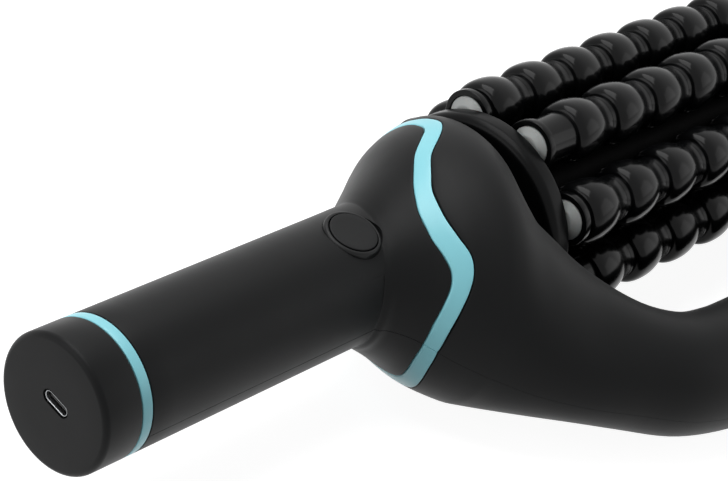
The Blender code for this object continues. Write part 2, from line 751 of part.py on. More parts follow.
# Power button, its bezel and its switch
def make_button():
    """Flat round cap behind a lip, a bezel that stands out of the round shell, and the switch below."""
    spot = (BUTTON_FROM_RING, BUTTON_ASIDE, 0)
    hole = BUTTON_RADIUS + PART_GAP
    top = GRIP_RADIUS + BUTTON_RISE
    rim = top - BUTTON_EDGE
    bezel = [(BEZEL_FLOOR, hole), (rim, hole), (rim, BEZEL_RADIUS - BEZEL_CHAMFER)]
    bezel += [(rim - BEZEL_CHAMFER, BEZEL_RADIUS), (BEZEL_FLOOR, BEZEL_RADIUS)]
    place("button_bezel", upright(bezel, BUTTON_SIDES, looped=True), SHELL_BLACK, spot)
    skirt = BUTTON_RADIUS + BUTTON_LIP
    lip = BEZEL_FLOOR - PART_GAP
    cap = [(BUTTON_FLOOR, 0), (BUTTON_FLOOR, skirt), (lip, skirt), (lip, BUTTON_RADIUS)]
    cap += [(rim, BUTTON_RADIUS), (top, BUTTON_RADIUS - BUTTON_EDGE), (top, 0)]
    place("power_button", upright(cap, BUTTON_SIDES), SHELL_BLACK, spot)
    half = SWITCH_SIDE / 2
    centre = BUTTON_FROM_RING
    switch = slab((centre - half, -half, BOARD_TOP + PART_GAP), (centre + half, half, SWITCH_TOP))
    place("button_switch", switch, STEEL)
    reach = math.sqrt(GRIP_BORE**2 - BOARD_TOP**2) - PART_GAP
    start = centre - CONTROL_BOARD_LENGTH / 2
    board = slab(
        (start, -reach, BOARD_TOP - BOARD_THICKNESS), (start + CONTROL_BOARD_LENGTH, reach, BOARD_TOP),
    )
    place("control_board", board, BOARD_GREEN)


# Battery, motor and gearbox
def cradle(seat_radius, drop, low, high):
    """Bed along the bottom of the handle, hollowed for a round body."""
    outer = GRIP_BORE - PART_GAP
    dip = seat_radius + PART_GAP
    edge = math.radians(20)
    bed = arc(outer, math.pi + edge, 2 * math.pi - edge, 10)
    z = bed[-1][1]
    lean = math.asin((z + drop) / dip) if abs(z + drop) < dip else 0.0
    hollow = arc(dip, lean, -math.pi - lean, 10, z=-drop)
    return prism(bed + hollow, low, high)


def make_works():
    """Cell in its tray, motor in its cradle, gearbox on the plate that closes the dome."""
    end = CELL_START + CELL_LENGTH
    cell = [(CELL_START, 0), (CELL_START, CELL_RADIUS), (end, CELL_RADIUS), (end, 0)]
    place("battery_cell", lathe(cell, CELL_SIDES, z=-CELL_DROP), CELL_WRAP)
    place("battery_tray", cradle(CELL_RADIUS, CELL_DROP, CELL_START, end), WORKS_GREY)
    stop = MOTOR_START + MOTOR_LENGTH
    motor = [(MOTOR_START, 0), (MOTOR_START, MOTOR_RADIUS), (stop, MOTOR_RADIUS), (stop, 0)]
    place("drive_motor", lathe(motor, CELL_SIDES), STEEL)
    bed = cradle(MOTOR_RADIUS, 0.0, MOTOR_START, MOTOR_START + CRADLE_LENGTH)
    place("motor_cradle", bed, WORKS_GREY)
    gears_end = GEARBOX_START + GEARBOX_LENGTH
    gearbox = [(GEARBOX_START, 0), (GEARBOX_START, GEARBOX_RADIUS)]
    gearbox += [(gears_end, GEARBOX_RADIUS), (gears_end, 0)]
    gearbox = place("gearbox", lathe(gearbox, BORE_SIDES), STEEL)
    low = (PLATE_START, -(DOME_HALF_WIDTH + OVERRUN), -DOME_HALF_HEIGHT)
    high = (PLATE_START + PLATE_THICKNESS, DOME_HALF_WIDTH + OVERRUN, DOME_HALF_HEIGHT)
    plate = place("motor_plate", slab(low, high), WORKS_GREY)
    combine(plate, cutter("plate_edge", housing_hollow(FRAME_WALL + PART_GAP)), "INTERSECT")
    bore = SHAFT_RADIUS + PART_GAP
    front = PLATE_START + PLATE_THICKNESS + OVERRUN
    shaft_hole = [(gears_end - OVERRUN, 0), (gears_end - OVERRUN, bore), (front, bore), (front, 0)]
    holes = [lathe(shaft_hole, AXLE_SIDES)]
    seat = PLATE_START + PLATE_THICKNESS + PART_GAP
    for k, angle in enumerate(turn(2, math.pi / 4)):
        y, z = PLATE_SCREW_CIRCLE * math.cos(angle), PLATE_SCREW_CIRCLE * math.sin(angle)
        wide = SCREW_SHANK_RADIUS + PART_GAP
        deep = seat - PLATE_SCREW_LENGTH - PART_GAP
        hole = [(deep, 0), (deep, wide), (front, wide), (front, 0)]
        holes.append(lathe(hole, AXLE_SIDES, y=y, z=z))
        tip = seat - PLATE_SCREW_LENGTH
        head = seat + SCREW_HEAD_HEIGHT
        screw = [(tip, 0), (tip, SCREW_SHANK_RADIUS), (seat, SCREW_SHANK_RADIUS)]
        screw += [(seat, SCREW_HEAD_RADIUS), (head, SCREW_HEAD_RADIUS), (head, 0)]
        place(f"motor_screw_{k + 1}", lathe(screw, AXLE_SIDES, y=y, z=z), STEEL)
    cuts = cutter("plate_holes", joined(holes))
    combine(plate, cuts, "DIFFERENCE")
    combine(gearbox, cuts, "DIFFERENCE")
    shaft_end = DISC_FACE - AXLE_SEAT_DEPTH / 2
    shaft_start = gears_end - OVERRUN + PART_GAP
    shaft = [(shaft_start, 0), (shaft_start, SHAFT_RADIUS), (shaft_end, SHAFT_RADIUS), (shaft_end, 0)]
    place("output_shaft", lathe(shaft, AXLE_SIDES), STEEL)


# Drum: discs, core, hub and stub, bearings
def disc_profile(far):
    """Thick disc with a rounded rim and a bore for the shaft or stub."""
    bore = SHAFT_RADIUS + PART_GAP
    edge = DISC_EDGE_RADIUS
    profile = [(DISC_START, bore)]
    for a in (0.0, math.pi / 4, math.pi / 2):
        profile.append((DISC_START + edge * (1 - math.cos(a)), DISC_RADIUS - edge * (1 - math.sin(a))))
    edge = edge / 2
    for a in (math.pi / 2, 0.0):
        profile.append((DISC_FACE - edge * (1 - math.cos(a)), DISC_RADIUS - edge * (1 - math.sin(a))))
    profile.append((DISC_FACE, bore))
    return [(2 * MID_X - x, r) for x, r in profile] if far else profile


def roller_places():
    """Each roller's angle round the drum and its centre (y, z)."""
    for angle in turn(ROLLER_COUNT, ROLLER_PHASE):
        yield angle, -ROLLER_CIRCLE * math.sin(angle), ROLLER_CIRCLE * math.cos(angle)


def make_drum():
    """The turning drum between its two bearings."""
    seat = AXLE_RADIUS + PART_GAP
    start = DISC_FACE - AXLE_SEAT_DEPTH
    pairs = ((start, DISC_FACE + OVERRUN), (2 * MID_X - DISC_FACE - OVERRUN, 2 * MID_X - start))
    holes = []
    for _, y, z in roller_places():
        for low, high in pairs:
            holes.append(lathe([(low, seat), (high, seat)], AXLE_SIDES, y=y, z=z))
    seats = cutter("axle_seats", joined(holes))
    for name, far in (("near_disc", False), ("far_disc", True)):
        disc = place(name, lathe(disc_profile(far), TURNED_SIDES, looped=True), DISC_BLACK)
        combine(disc, seats, "DIFFERENCE")
    low, high = DISC_FACE + PART_GAP, 2 * MID_X - DISC_FACE - PART_GAP
    inner = CORE_RADIUS - CORE_WALL
    core = [(low, inner), (low, CORE_RADIUS), (high, CORE_RADIUS), (high, inner)]
    place("drum_core", lathe(core, BORE_SIDES, looped=True), ROLLER_BLACK)
    hub_end = DISC_START - PART_GAP
    hub_start = hub_end - HUB_LENGTH
    bore = SHAFT_RADIUS + PART_GAP
    hub = [(hub_start, bore), (hub_start, HUB_RADIUS), (hub_end, HUB_RADIUS), (hub_end, bore)]
    place("drive_hub", lathe(hub, BORE_SIDES, looped=True), STEEL)
    tip = 2 * MID_X - (DISC_FACE - AXLE_SEAT_DEPTH / 2)
    shoulder, back = 2 * MID_X - hub_end, 2 * MID_X - hub_start
    stub = [(tip, 0), (tip, SHAFT_RADIUS), (shoulder, SHAFT_RADIUS), (shoulder, HUB_RADIUS)]
    stub += [(back, HUB_RADIUS), (back, 0)]
    place("far_stub", lathe(stub, BORE_SIDES), STEEL)
    race = HUB_RADIUS + PART_GAP
    middle = MOUTH_START - FRAME_WALL / 2
    for name, centre in (("near_bearing", middle), ("far_bearing", 2 * MID_X - middle)):
        low, high = centre - BEARING_WIDTH / 2, centre + BEARING_WIDTH / 2
        bearing = [(low, race), (low, BEARING_RADIUS), (high, BEARING_RADIUS), (high, race)]
        place(name, lathe(bearing, BORE_SIDES, looped=True), STEEL)


# Rollers, their sleeves and their axles
def roller_profile(beads):
    """Beads between two flanges, with a bore and a recess in each end for the sleeve's collar."""
    recess = COLLAR_RADIUS + PART_GAP
    profile = [(0, recess), (0, FLANGE_RADIUS)]
    profile += [(FLANGE_WIDTH, FLANGE_RADIUS), (FLANGE_WIDTH, NECK_RADIUS)]
    first = ROLLER_LENGTH / 2 - BEAD_PITCH * (beads - 1) / 2
    for k in range(beads):
        for along, rise in BEAD_SHARES:
            radius = NECK_RADIUS + (BEAD_RADIUS - NECK_RADIUS) * rise
            profile.append((first + BEAD_PITCH * k + BEAD_LENGTH * along, radius))
    end = ROLLER_LENGTH
    profile += [(end - FLANGE_WIDTH, NECK_RADIUS), (end - FLANGE_WIDTH, FLANGE_RADIUS)]
    profile += [(end, FLANGE_RADIUS), (end, recess), (end - COLLAR_SINK, recess)]
    profile += [(end - COLLAR_SINK, ROLLER_BORE), (COLLAR_SINK, ROLLER_BORE), (COLLAR_SINK, recess)]
    return profile


def sleeve_profile():
    """Sleeve that runs on the axle, with a collar in each of the roller's recesses."""
    bore = AXLE_RADIUS + AXLE_CLEARANCE
    tube = ROLLER_BORE - PART_GAP
    profile = []
    for start, side in ((0.0, 1), (ROLLER_LENGTH, -1)):
        face = start - side * (ROLLER_END_GAP - PART_GAP)
        head = start + side * (COLLAR_SINK - PART_GAP)
        end = [(face, bore), (face, BOSS_RADIUS), (start, COLLAR_RADIUS)]
        end += [(head, COLLAR_RADIUS), (head, tube)]
        profile += end[::side]
    return profile


def make_rollers():
    """Eight rollers; every second one is set half a bead along."""
    axle_start = DISC_FACE - AXLE_SEAT_DEPTH + PART_GAP
    axle_end = 2 * MID_X - axle_start
    for k, (_, y, z) in enumerate(roller_places()):
        number = k + 1
        beads = BEAD_COUNT - 1 if k % 2 == 0 else BEAD_COUNT
        spot = (ROLLER_START, y, z)
        body = lathe(roller_profile(beads), ROLLER_SIDES, True, REST_TILT)
        place(f"roller_{number}", body, ROLLER_BLACK, spot)
        sleeve = lathe(sleeve_profile(), ROLLER_SIDES, True, REST_TILT)
        place(f"roller_sleeve_{number}", sleeve, SLEEVE_GREY, spot)
        low, high = axle_start - ROLLER_START, axle_end - ROLLER_START
        axle = [(low, 0), (low, AXLE_RADIUS), (high, AXLE_RADIUS), (high, 0)]
        place(f"roller_axle_{number}", lathe(axle, AXLE_SIDES), STEEL, spot)


make_end_cap()
make_charging_inlet()
make_grip_shells()
make_band()
make_frame_shells()
make_button()
make_works()
make_drum()
make_rollers()


def stand_on_table():
    """Tilt the whole object to its resting pose, on Z = 0 and centred over the origin."""
    REST.rotation_euler = (REST_TILT, 0, 0)
    graph = bpy.context.evaluated_depsgraph_get()
    corners = []
    for piece in REST.children:
        if piece.hide_render:
            continue
        cut = piece.evaluated_get(graph)
        corners += [cut.matrix_world @ vertex.co for vertex in cut.to_mesh().vertices]
        cut.to_mesh_clear()
    low = [min(corner[i] for corner in corners) for i in range(3)]
    high = [max(corner[i] for corner in corners) for i in range(3)]
    REST.location = (-(low[0] + high[0]) / 2, -(low[1] + high[1]) / 2, -low[2])


stand_on_table()
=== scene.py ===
"""Look of the anti-cellulite massager: black soft-touch handle and bent second grip, a pale turquoise
trim band and ring, and a drum of eight glossy beaded rollers.

X runs along the drum from the handle to the far hub, the second grip lies towards -Y and the button
faces +Z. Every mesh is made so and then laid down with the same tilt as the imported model.
"""

import json
import math

import bmesh
import bpy
from mathutils import Matrix, Vector


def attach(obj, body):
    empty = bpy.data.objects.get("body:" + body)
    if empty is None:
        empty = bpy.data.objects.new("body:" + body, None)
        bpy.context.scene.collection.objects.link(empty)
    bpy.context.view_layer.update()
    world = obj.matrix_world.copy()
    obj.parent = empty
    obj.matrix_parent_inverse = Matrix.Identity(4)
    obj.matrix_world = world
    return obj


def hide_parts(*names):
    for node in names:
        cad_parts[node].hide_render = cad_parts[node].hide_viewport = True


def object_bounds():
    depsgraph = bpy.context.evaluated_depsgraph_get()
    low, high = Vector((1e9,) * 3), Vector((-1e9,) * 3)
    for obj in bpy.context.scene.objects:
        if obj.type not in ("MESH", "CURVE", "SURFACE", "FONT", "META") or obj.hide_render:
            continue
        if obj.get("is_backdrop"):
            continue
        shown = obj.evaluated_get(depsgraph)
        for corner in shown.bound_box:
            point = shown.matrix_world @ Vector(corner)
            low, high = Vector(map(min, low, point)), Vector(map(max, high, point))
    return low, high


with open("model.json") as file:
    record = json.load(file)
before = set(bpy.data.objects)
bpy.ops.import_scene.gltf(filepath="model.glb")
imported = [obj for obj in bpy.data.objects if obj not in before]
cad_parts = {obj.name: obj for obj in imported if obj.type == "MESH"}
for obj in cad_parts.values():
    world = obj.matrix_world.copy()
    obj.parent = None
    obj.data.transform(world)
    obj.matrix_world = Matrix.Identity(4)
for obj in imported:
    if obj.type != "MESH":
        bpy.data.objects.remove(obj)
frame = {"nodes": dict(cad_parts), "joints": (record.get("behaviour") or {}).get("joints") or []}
cad_low, cad_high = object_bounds()

# Handle shells: two injection-moulded halves that meet along the middle, widen into the dome and end
# in a thin lip over the housing's tongue. Black soft-touch lacquer over plastic, with a fine grain
# and a broad dull sheen. One screw from below holds them at the handle's middle.
GRIP_RADIUS = 0.0205
GRIP_LENGTH = 0.1025
GRIP_WALL = 0.0024
MID_X = 0.26005
HORN_RUN = 0.14770077
HANDLE_TILT = 25
BOW_STRAIGHT = 0.0197
BOW_OFFSET = 0.0874
BOW_RADIUS = 0.0199
DOME_HALF_WIDTH = 0.0499
DOME_HALF_HEIGHT = 0.0385
HANDLE_SIDES = 112
TURNED_SIDES = 96
SEAM = 0.00008
SEAM_EDGE = 0.00010
LIP_EDGE = 0.00022
STEP_GAP = 0.0003
BAND_THICKNESS = 0.0012
BAND_GAP = 0.00048

# Each mesh is made with the drum along X and the button upwards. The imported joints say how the
# massager lies on the table, and rest takes a mesh there.
joints = {joint["name"]: joint for joint in frame["joints"]}
press_way = Vector(joints["button_press"]["axis"])
drum_middle = Vector(joints["drum_spin"]["pos_m"])
lean = math.atan2(press_way.y, -press_way.z)
rest = Matrix.Translation(drum_middle - Vector((MID_X, 0, 0))) @ Matrix.Rotation(lean, 4, "X")

# Stations from the handle to the second grip: run, offset, tilt in degrees, then width and height on
# their way from the grip beside it to the widest place
horn_shares = (
    (0.000, 0.000, 25.0, 0.000, 0.017), (0.0135, 0.004, 24.2, 0.030, 0.088),
    (0.040, 0.002, 23.9, 0.110, 0.226), (0.090, 0.010, 23.5, 0.335, 0.480),
    (0.155, 0.034, 24.5, 0.710, 0.823), (0.2355, 0.069, 29.6, 1.000, 1.000),
    (0.2795, 0.156, 35.3, 0.967, 0.919), (0.294, 0.343, 34.4, 0.687, 0.473),
    (0.338, 0.574, 33.2, 0.340, 0.091), (0.411, 0.773, 34.5, 0.073, -0.030),
    (0.501, 0.904, 30.9, 0.003, -0.040), (0.604, 0.963, 23.8, 0.000, -0.010),
    (0.718, 0.990, 13.1, 0.000, 0.000), (0.837, 1.000, 4.0, 0.000, 0.000),
    (1.000, 1.000, 0.0, 0.000, 0.000),
)
DOME_STATION = 5
BOW_STATION = 14
horn = []
for k, (run, offset, tilt, wide, high) in enumerate(horn_shares):
    on_handle = k < DOME_STATION
    end_wide = GRIP_RADIUS / math.cos(math.radians(HANDLE_TILT)) if on_handle else BOW_RADIUS
    end_high = GRIP_RADIUS if on_handle else BOW_RADIUS
    horn.append((
        MID_X - BOW_STRAIGHT / 2 if k == BOW_STATION else GRIP_LENGTH + HORN_RUN * run,
        BOW_OFFSET * offset,
        math.radians(tilt),
        end_wide + (DOME_HALF_WIDTH - end_wide) * wide,
        end_high + (DOME_HALF_HEIGHT - end_high) * high,
    ))
horn_columns = list(zip(*horn))
horn_places = list(range(len(horn)))
# Offset, width and height leave the handle level
level_columns = (1, 3, 4)

# The trim band's edges: share of the half turn from the second grip's side, then the two stations
band_shares = (
    (0.00, 3.22, 3.58), (0.08, 3.26, 3.65), (0.15, 3.40, 3.81), (0.21, 3.54, 4.00), (0.25, 3.53, 4.09),
    (0.29, 3.37, 4.05), (0.34, 3.12, 3.77), (0.39, 3.00, 3.57), (0.44, 2.93, 3.49), (0.49, 3.00, 3.50),
    (0.54, 3.15, 3.70), (0.59, 3.42, 3.98), (0.63, 3.70, 4.43), (0.66, 4.07, 4.68), (0.69, 4.38, 4.79),
    (0.73, 4.43, 4.74), (0.78, 4.40, 4.62), (0.86, 4.25, 4.50), (1.00, 4.12, 4.40),
)


def curve_through(places, values, at, level_start=False):
    """Smooth curve through points with unequal steps; it may leave its first point level."""
    last = len(places) - 2
    k = 0
    while k < last and at > places[k + 1]:
        k += 1
    step = places[k + 1] - places[k]
    t = (at - places[k]) / step
    slopes = []
    for i in (k, k + 1):
        low, high = max(i - 1, 0), min(i + 1, last + 1)
        slope = (values[high] - values[low]) / (places[high] - places[low])
        slopes.append(0.0 if level_start and i == 0 else slope * step)
    return (
        values[k] * (2 * t**3 - 3 * t**2 + 1)
        + slopes[0] * (t**3 - 2 * t**2 + t)
        + values[k + 1] * (3 * t**2 - 2 * t**3)
        + slopes[1] * (t**3 - t**2)
    )


def oval_point(section, angle, inset=0.0, far=False):
    """A point on a tilted oval section; the far half of the housing mirrors the near one."""
    x, offset, tilt, wide, high = section
    across = (wide - inset) * math.cos(angle)
    x = x - math.sin(tilt) * across
    reach = offset + math.cos(tilt) * across
    return Vector((2 * MID_X - x if far else x, -reach, (high - inset) * math.sin(angle)))


sections = {}


def horn_point(station, angle, inset=0.0, far=False):
    """A point on the housing's skin, or under it by the inset."""
    if station not in sections:
        sections[station] = [
            curve_through(horn_places, column, station, k in level_columns)
            for k, column in enumerate(horn_columns)
        ]
    return oval_point(sections[station], angle, inset, far)


def band_edges(angle):
    """The band's two edge stations at an angle, and the metres from one station to the next."""
    share = abs(math.remainder(angle, 2 * math.pi)) / math.pi
    places, inner, outer = zip(*band_shares)
    start, end = curve_through(places, inner, share), curve_through(places, outer, share)
    pace = (horn_point(end, angle) - horn_point(start, angle)).length / (end - start)
    return start, end, pace


def skinned(rings, looped=False):
    """Closed mesh over a row of rings; a ring of one point closes to a tip, others are capped."""
    mesh = bmesh.new()
    rows = [[mesh.verts.new(point) for point in ring] for ring in rings]
    pairs = list(zip(rows, rows[1:]))
    if looped:
        pairs.append((rows[-1], rows[0]))
    for a, b in pairs:
        count = max(len(a), len(b))
        for i in range(count):
            j = (i + 1) % count
            corners = []
            for row, k in ((a, i), (a, j), (b, j), (b, i)):
                vertex = row[k % len(row)]
                if vertex not in corners:
                    corners.append(vertex)
            mesh.faces.new(corners)
    if not looped:
        for row in (rows[0], rows[-1]):
            if len(row) > 2:
                mesh.faces.new(row)
    bmesh.ops.recalc_face_normals(mesh, faces=mesh.faces)
    return mesh


def standing(profile, sides, x=0.0, y=0.0, looped=False):
    """A turned mesh standing along Z; the profile is (height, radius) pairs."""
    rings = []
    for height, radius in profile:
        steps = [2 * math.pi * k / sides for k in range(sides)] if radius else [0.0]
        rings.append([
            Vector((x + radius * math.cos(a), y + radius * math.sin(a), height)) for a in steps
        ])
    return skinned(rings, looped)


def as_object(name, mesh, laid=False):
    """An object from a mesh, laid down in the resting pose where asked."""
    data = bpy.data.meshes.new(name)
    mesh.to_mesh(data)
    mesh.free()
    if laid:
        data.transform(rest)
    made = bpy.data.objects.new(name, data)
    bpy.context.scene.collection.objects.link(made)
    return made


def shaped(piece, steps):
    """The piece after its cuts and joins, with the guides taken away again."""
    for operation, guide in steps:
        step = piece.modifiers.new(operation.lower(), "BOOLEAN")
        step.operation = operation
        step.solver = "EXACT"
        step.object = guide
    graph = bpy.context.evaluated_depsgraph_get()
    data = bpy.data.meshes.new_from_object(piece.evaluated_get(graph))
    piece.modifiers.clear()
    piece.data = data
    for _, guide in steps:
        bpy.data.objects.remove(guide, do_unlink=True)
    return piece


SHARP_ANGLE = 32


def dress(piece, material, body, nodes):
    """Shading, material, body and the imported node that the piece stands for."""
    piece.data.materials.clear()
    piece.data.materials.append(material)
    piece.data.shade_smooth()
    piece.data.set_sharp_from_angle(angle=math.radians(SHARP_ANGLE))
    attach(piece, body)
    if nodes:
        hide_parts(*nodes)


def lay_down(piece):
    """Move a finished mesh from the making frame to the resting pose."""
    piece.data.transform(rest)


GLOSS_FINER_THAN_COLOUR = 2.7


def surface(name, colour, shift, patch, rough, rough_shift, grain, depth, metallic=0.0, **sockets):
    """A finish with mottled colour, uneven gloss and a fine grain; sizes are in metres."""
    material = bpy.data.materials.new(name)
    material.use_nodes = True
    tree = material.node_tree
    shader = tree.nodes["Principled BSDF"]
    shader.inputs["Metallic"].default_value = metallic
    for socket, value in sockets.items():
        shader.inputs[socket.replace("_", " ")].default_value = value
    place = tree.nodes.new("ShaderNodeTexCoord")
    mottle = tree.nodes.new("ShaderNodeTexNoise")
    mottle.inputs["Scale"].default_value = 1 / patch
    mottle.inputs["Detail"].default_value = 4.0
    tree.links.new(place.outputs["Object"], mottle.inputs["Vector"])
    tint = tree.nodes.new("ShaderNodeValToRGB")
    low = tint.color_ramp.elements[0]
    high = tint.color_ramp.elements[1]
    low.position, high.position = 0.3, 0.7
    low.color = (*[c * (1 - shift) for c in colour], 1)
    high.color = (*[min(c * (1 + shift), 1) for c in colour], 1)
    tree.links.new(mottle.outputs["Fac"], tint.inputs["Fac"])
    tree.links.new(tint.outputs["Color"], shader.inputs["Base Color"])
    wear = tree.nodes.new("ShaderNodeTexNoise")
    wear.inputs["Scale"].default_value = GLOSS_FINER_THAN_COLOUR / patch
    wear.inputs["Detail"].default_value = 6.0
    tree.links.new(place.outputs["Object"], wear.inputs["Vector"])
    spread = tree.nodes.new("ShaderNodeMapRange")
    spread.inputs["To Min"].default_value = rough - rough_shift
    spread.inputs["To Max"].default_value = rough + rough_shift
    tree.links.new(wear.outputs["Fac"], spread.inputs["Value"])
    tree.links.new(spread.outputs["Result"], shader.inputs["Roughness"])
    texture = tree.nodes.new("ShaderNodeTexNoise")
    texture.inputs["Scale"].default_value = 1 / grain
    texture.inputs["Detail"].default_value = 2.0
    tree.links.new(place.outputs["Object"], texture.inputs["Vector"])
    bump = tree.nodes.new("ShaderNodeBump")
    bump.inputs["Strength"].default_value = 0.5
    bump.inputs["Distance"].default_value = depth
    tree.links.new(texture.outputs["Fac"], bump.inputs["Height"])
    tree.links.new(bump.outputs["Normal"], shader.inputs["Normal"])
    return material


def half_row(point_at, inner_at, side):
    """One closed section of a half shell: outer arc, seam edge, inner arc, seam edge."""
    row = []
    flat, edge = side * SEAM / 2, side * (SEAM / 2 + SEAM_EDGE)
    turns = [side * math.pi * i / HANDLE_SIDES for i in range(HANDLE_SIDES + 1)]
    for i, a in enumerate(turns):
        point = point_at(a, 0.0)
        if i in (0, HANDLE_SIDES):
            point.z = edge
        row.append(point)
    corner = point_at(turns[-1], SEAM_EDGE)
    corner.z = flat
    row.append(corner)
    for i, a in reversed(list(enumerate(turns))):
        point = inner_at(a)
        if i in (0, HANDLE_SIDES):
            point.z = flat
        row.append(point)
    corner = point_at(turns[0], SEAM_EDGE)
    corner.z = flat
    row.append(corner)
    return row


# The handle's mouth at the ring: place along the handle, then how far the edge is drawn in
mouth_edge = ((0.0003, 0.00025), (0.00033, 0.00012), (0.00042, 0.00004), (0.0006, 0.0))
TUBE_END = 0.0960
TUBE_RINGS = 12
FLARE_STATION = 2.2
FLARE_RINGS = 10
SHOULDER_RINGS = 8
LIP_RINGS = 4
LAP = 0.35
LAP_CLEARANCE = 1.12


def handle_half(side):
    """Half of the handle and of the dome's front, up to the trim band."""
    rows = []
    bore = GRIP_RADIUS - GRIP_WALL

    def round_row(x, radius):
        def point_at(a, inset):
            return Vector((x, -(radius - inset) * math.cos(a), (radius - inset) * math.sin(a)))
        return half_row(point_at, lambda a: Vector((x, -bore * math.cos(a), bore * math.sin(a))), side)

    for place, drawn_in in mouth_edge:
        rows.append(round_row(place, GRIP_RADIUS - drawn_in))
    tube_start = mouth_edge[-1][0]
    for k in range(1, TUBE_RINGS + 1):
        rows.append(round_row(tube_start + (TUBE_END - tube_start) * k / TUBE_RINGS, GRIP_RADIUS))

    def horn_row(station_at, inset=0.0, wall=GRIP_WALL):
        def point_at(a, extra):
            return horn_point(station_at(a), a, inset + extra)
        return half_row(point_at, lambda a: horn_point(station_at(a), a, wall), side)

    for k in range(round(FLARE_STATION * FLARE_RINGS) + 1):
        rows.append(horn_row(lambda a, s=k / FLARE_RINGS: s))
    lap_at = {}
    edge_at = {}
    for i in range(HANDLE_SIDES + 1):
        a = side * math.pi * i / HANDLE_SIDES
        start, _, pace = band_edges(a)
        edge_at[a] = (start - BAND_GAP / pace, pace)
        lap_at[a] = edge_at[a][0] - LAP * LAP_CLEARANCE
    for k in range(1, SHOULDER_RINGS + 1):
        rows.append(horn_row(
            lambda a, t=k / SHOULDER_RINGS: FLARE_STATION + (lap_at[a] - FLARE_STATION) * t
        ))
    rows.append(horn_row(lambda a: lap_at[a], 0.0, BAND_THICKNESS))
    for k in range(1, LIP_RINGS + 1):
        def towards(a, t=k / LIP_RINGS):
            stop = edge_at[a][0] - LIP_EDGE / edge_at[a][1]
            return lap_at[a] + (stop - lap_at[a]) * t
        rows.append(horn_row(towards, 0.0, BAND_THICKNESS))
    for turn in (30, 60, 90):
        rise = math.radians(turn)
        rows.append(horn_row(
            lambda a, r=rise: edge_at[a][0] - LIP_EDGE * (1 - math.sin(r)) / edge_at[a][1],
            LIP_EDGE * (1 - math.cos(rise)), BAND_THICKNESS,
        ))
    return skinned(rows)


POST_RADIUS = 0.0037
SCREW_HEAD_ROOM = 0.0028
SCREW_SHANK_ROOM = 0.0014
SCREW_DEPTH = 0.0050
SCREW_TOP = 0.0083
SCREW_HOLE_OUT = 0.004
POST_SIDES = 32
GRIP_POST = (0.0786, 0.0, GRIP_RADIUS, GRIP_WALL)


def post(spot, side):
    """A post from the parting plane into the wall."""
    x, offset, half_height, wall = spot
    end = half_height - wall / 2
    return as_object("post", standing(
        [(side * STEP_GAP, POST_RADIUS), (side * end, POST_RADIUS)], POST_SIDES, x, -offset,
    ))


def post_hole(spot):
    """The counterbored hole for a shell screw, driven from below."""
    x, offset, half_height, _ = spot
    seat = -(half_height - SCREW_DEPTH)
    profile = [(-(half_height + SCREW_HOLE_OUT), SCREW_HEAD_ROOM), (seat, SCREW_HEAD_ROOM)]
    profile += [(seat, SCREW_SHANK_ROOM), (SCREW_TOP, SCREW_SHANK_ROOM)]
    return as_object("post_hole", standing(profile, POST_SIDES, x, -offset))


BUTTON_X = 0.0941
BUTTON_Y = 0.0008
BEZEL_RADIUS = 0.0092
BEZEL_HOLE_RADIUS = BEZEL_RADIUS + 0.00012
BEZEL_HOLE_LOW = 0.008
BEZEL_HOLE_HIGH = 0.026

soft_black = surface(
    "soft_touch_black", (0.0036, 0.0039, 0.0042), shift=0.10, patch=0.020,
    rough=0.44, rough_shift=0.05, grain=0.00022, depth=0.00002,
    Specular_IOR_Level=0.13, Sheen_Weight=0.12, Sheen_Roughness=0.40,
)

handle_upper = as_object("handle_upper", handle_half(1))
bezel_hole = as_object("bezel_hole", standing(
    [(BEZEL_HOLE_LOW, BEZEL_HOLE_RADIUS), (BEZEL_HOLE_HIGH, BEZEL_HOLE_RADIUS)],
    TURNED_SIDES, BUTTON_X, BUTTON_Y,
))
shaped(handle_upper, [
    ("UNION", post(GRIP_POST, 1)), ("DIFFERENCE", post_hole(GRIP_POST)), ("DIFFERENCE", bezel_hole),
])
handle_lower = as_object("handle_lower", handle_half(-1))
shaped(handle_lower, [("UNION", post(GRIP_POST, -1)), ("DIFFERENCE", post_hole(GRIP_POST))])
for piece, node in ((handle_upper, "grip_shell_upper"), (handle_lower, "grip_shell_lower")):
    lay_down(piece)
    dress(piece, soft_black, "housing", [node])

# Handle's closed end: a moulded cup in the same soft-touch black, its spigot pushed into the handle,
# and a thin pale turquoise ring held between the two.
RING_WIDTH = 0.0035
CAP_END = -0.0169
CAP_MOUTH = -0.0038
CAP_EDGE = 0.0018
CAP_MOUTH_EDGE = 0.00025
CAP_FACE_RADIUS = 0.012
CAP_WALL = 0.0024
CAP_BORE = 0.0158
SPIGOT_RADIUS = 0.0178
SPIGOT_END = 0.0040


def turned(profile, sides=TURNED_SIDES, looped=False, x=0.0, y=0.0, z=0.0):
    """A turned mesh along X; the profile is (place, radius) pairs."""
    rings = []
    for along, radius in profile:
        steps = [2 * math.pi * k / sides for k in range(sides)] if radius else [0.0]
        rings.append([
            Vector((x + along, y - radius * math.sin(a), z + radius * math.cos(a))) for a in steps
        ])
    return skinned(rings, looped)


def rounded(x, r, radius, start, end, steps):
    """Points of a rounded corner round the centre (x, r), angles from +X towards +r."""
    turns = [math.radians(start + (end - start) * k / steps) for k in range(steps + 1)]
    return [(x + radius * math.cos(a), r + radius * math.sin(a)) for a in turns]


PORT_WIDTH = 0.00894
PORT_HEIGHT = 0.00326
PORT_Y = -0.0006
PORT_Z = 0.0014
PORT_ROOM = 0.0011
PORT_HOLE_OUT = 0.002
PORT_HOLE_DEPTH = 0.005
PORT_ROUND_STEPS = 12


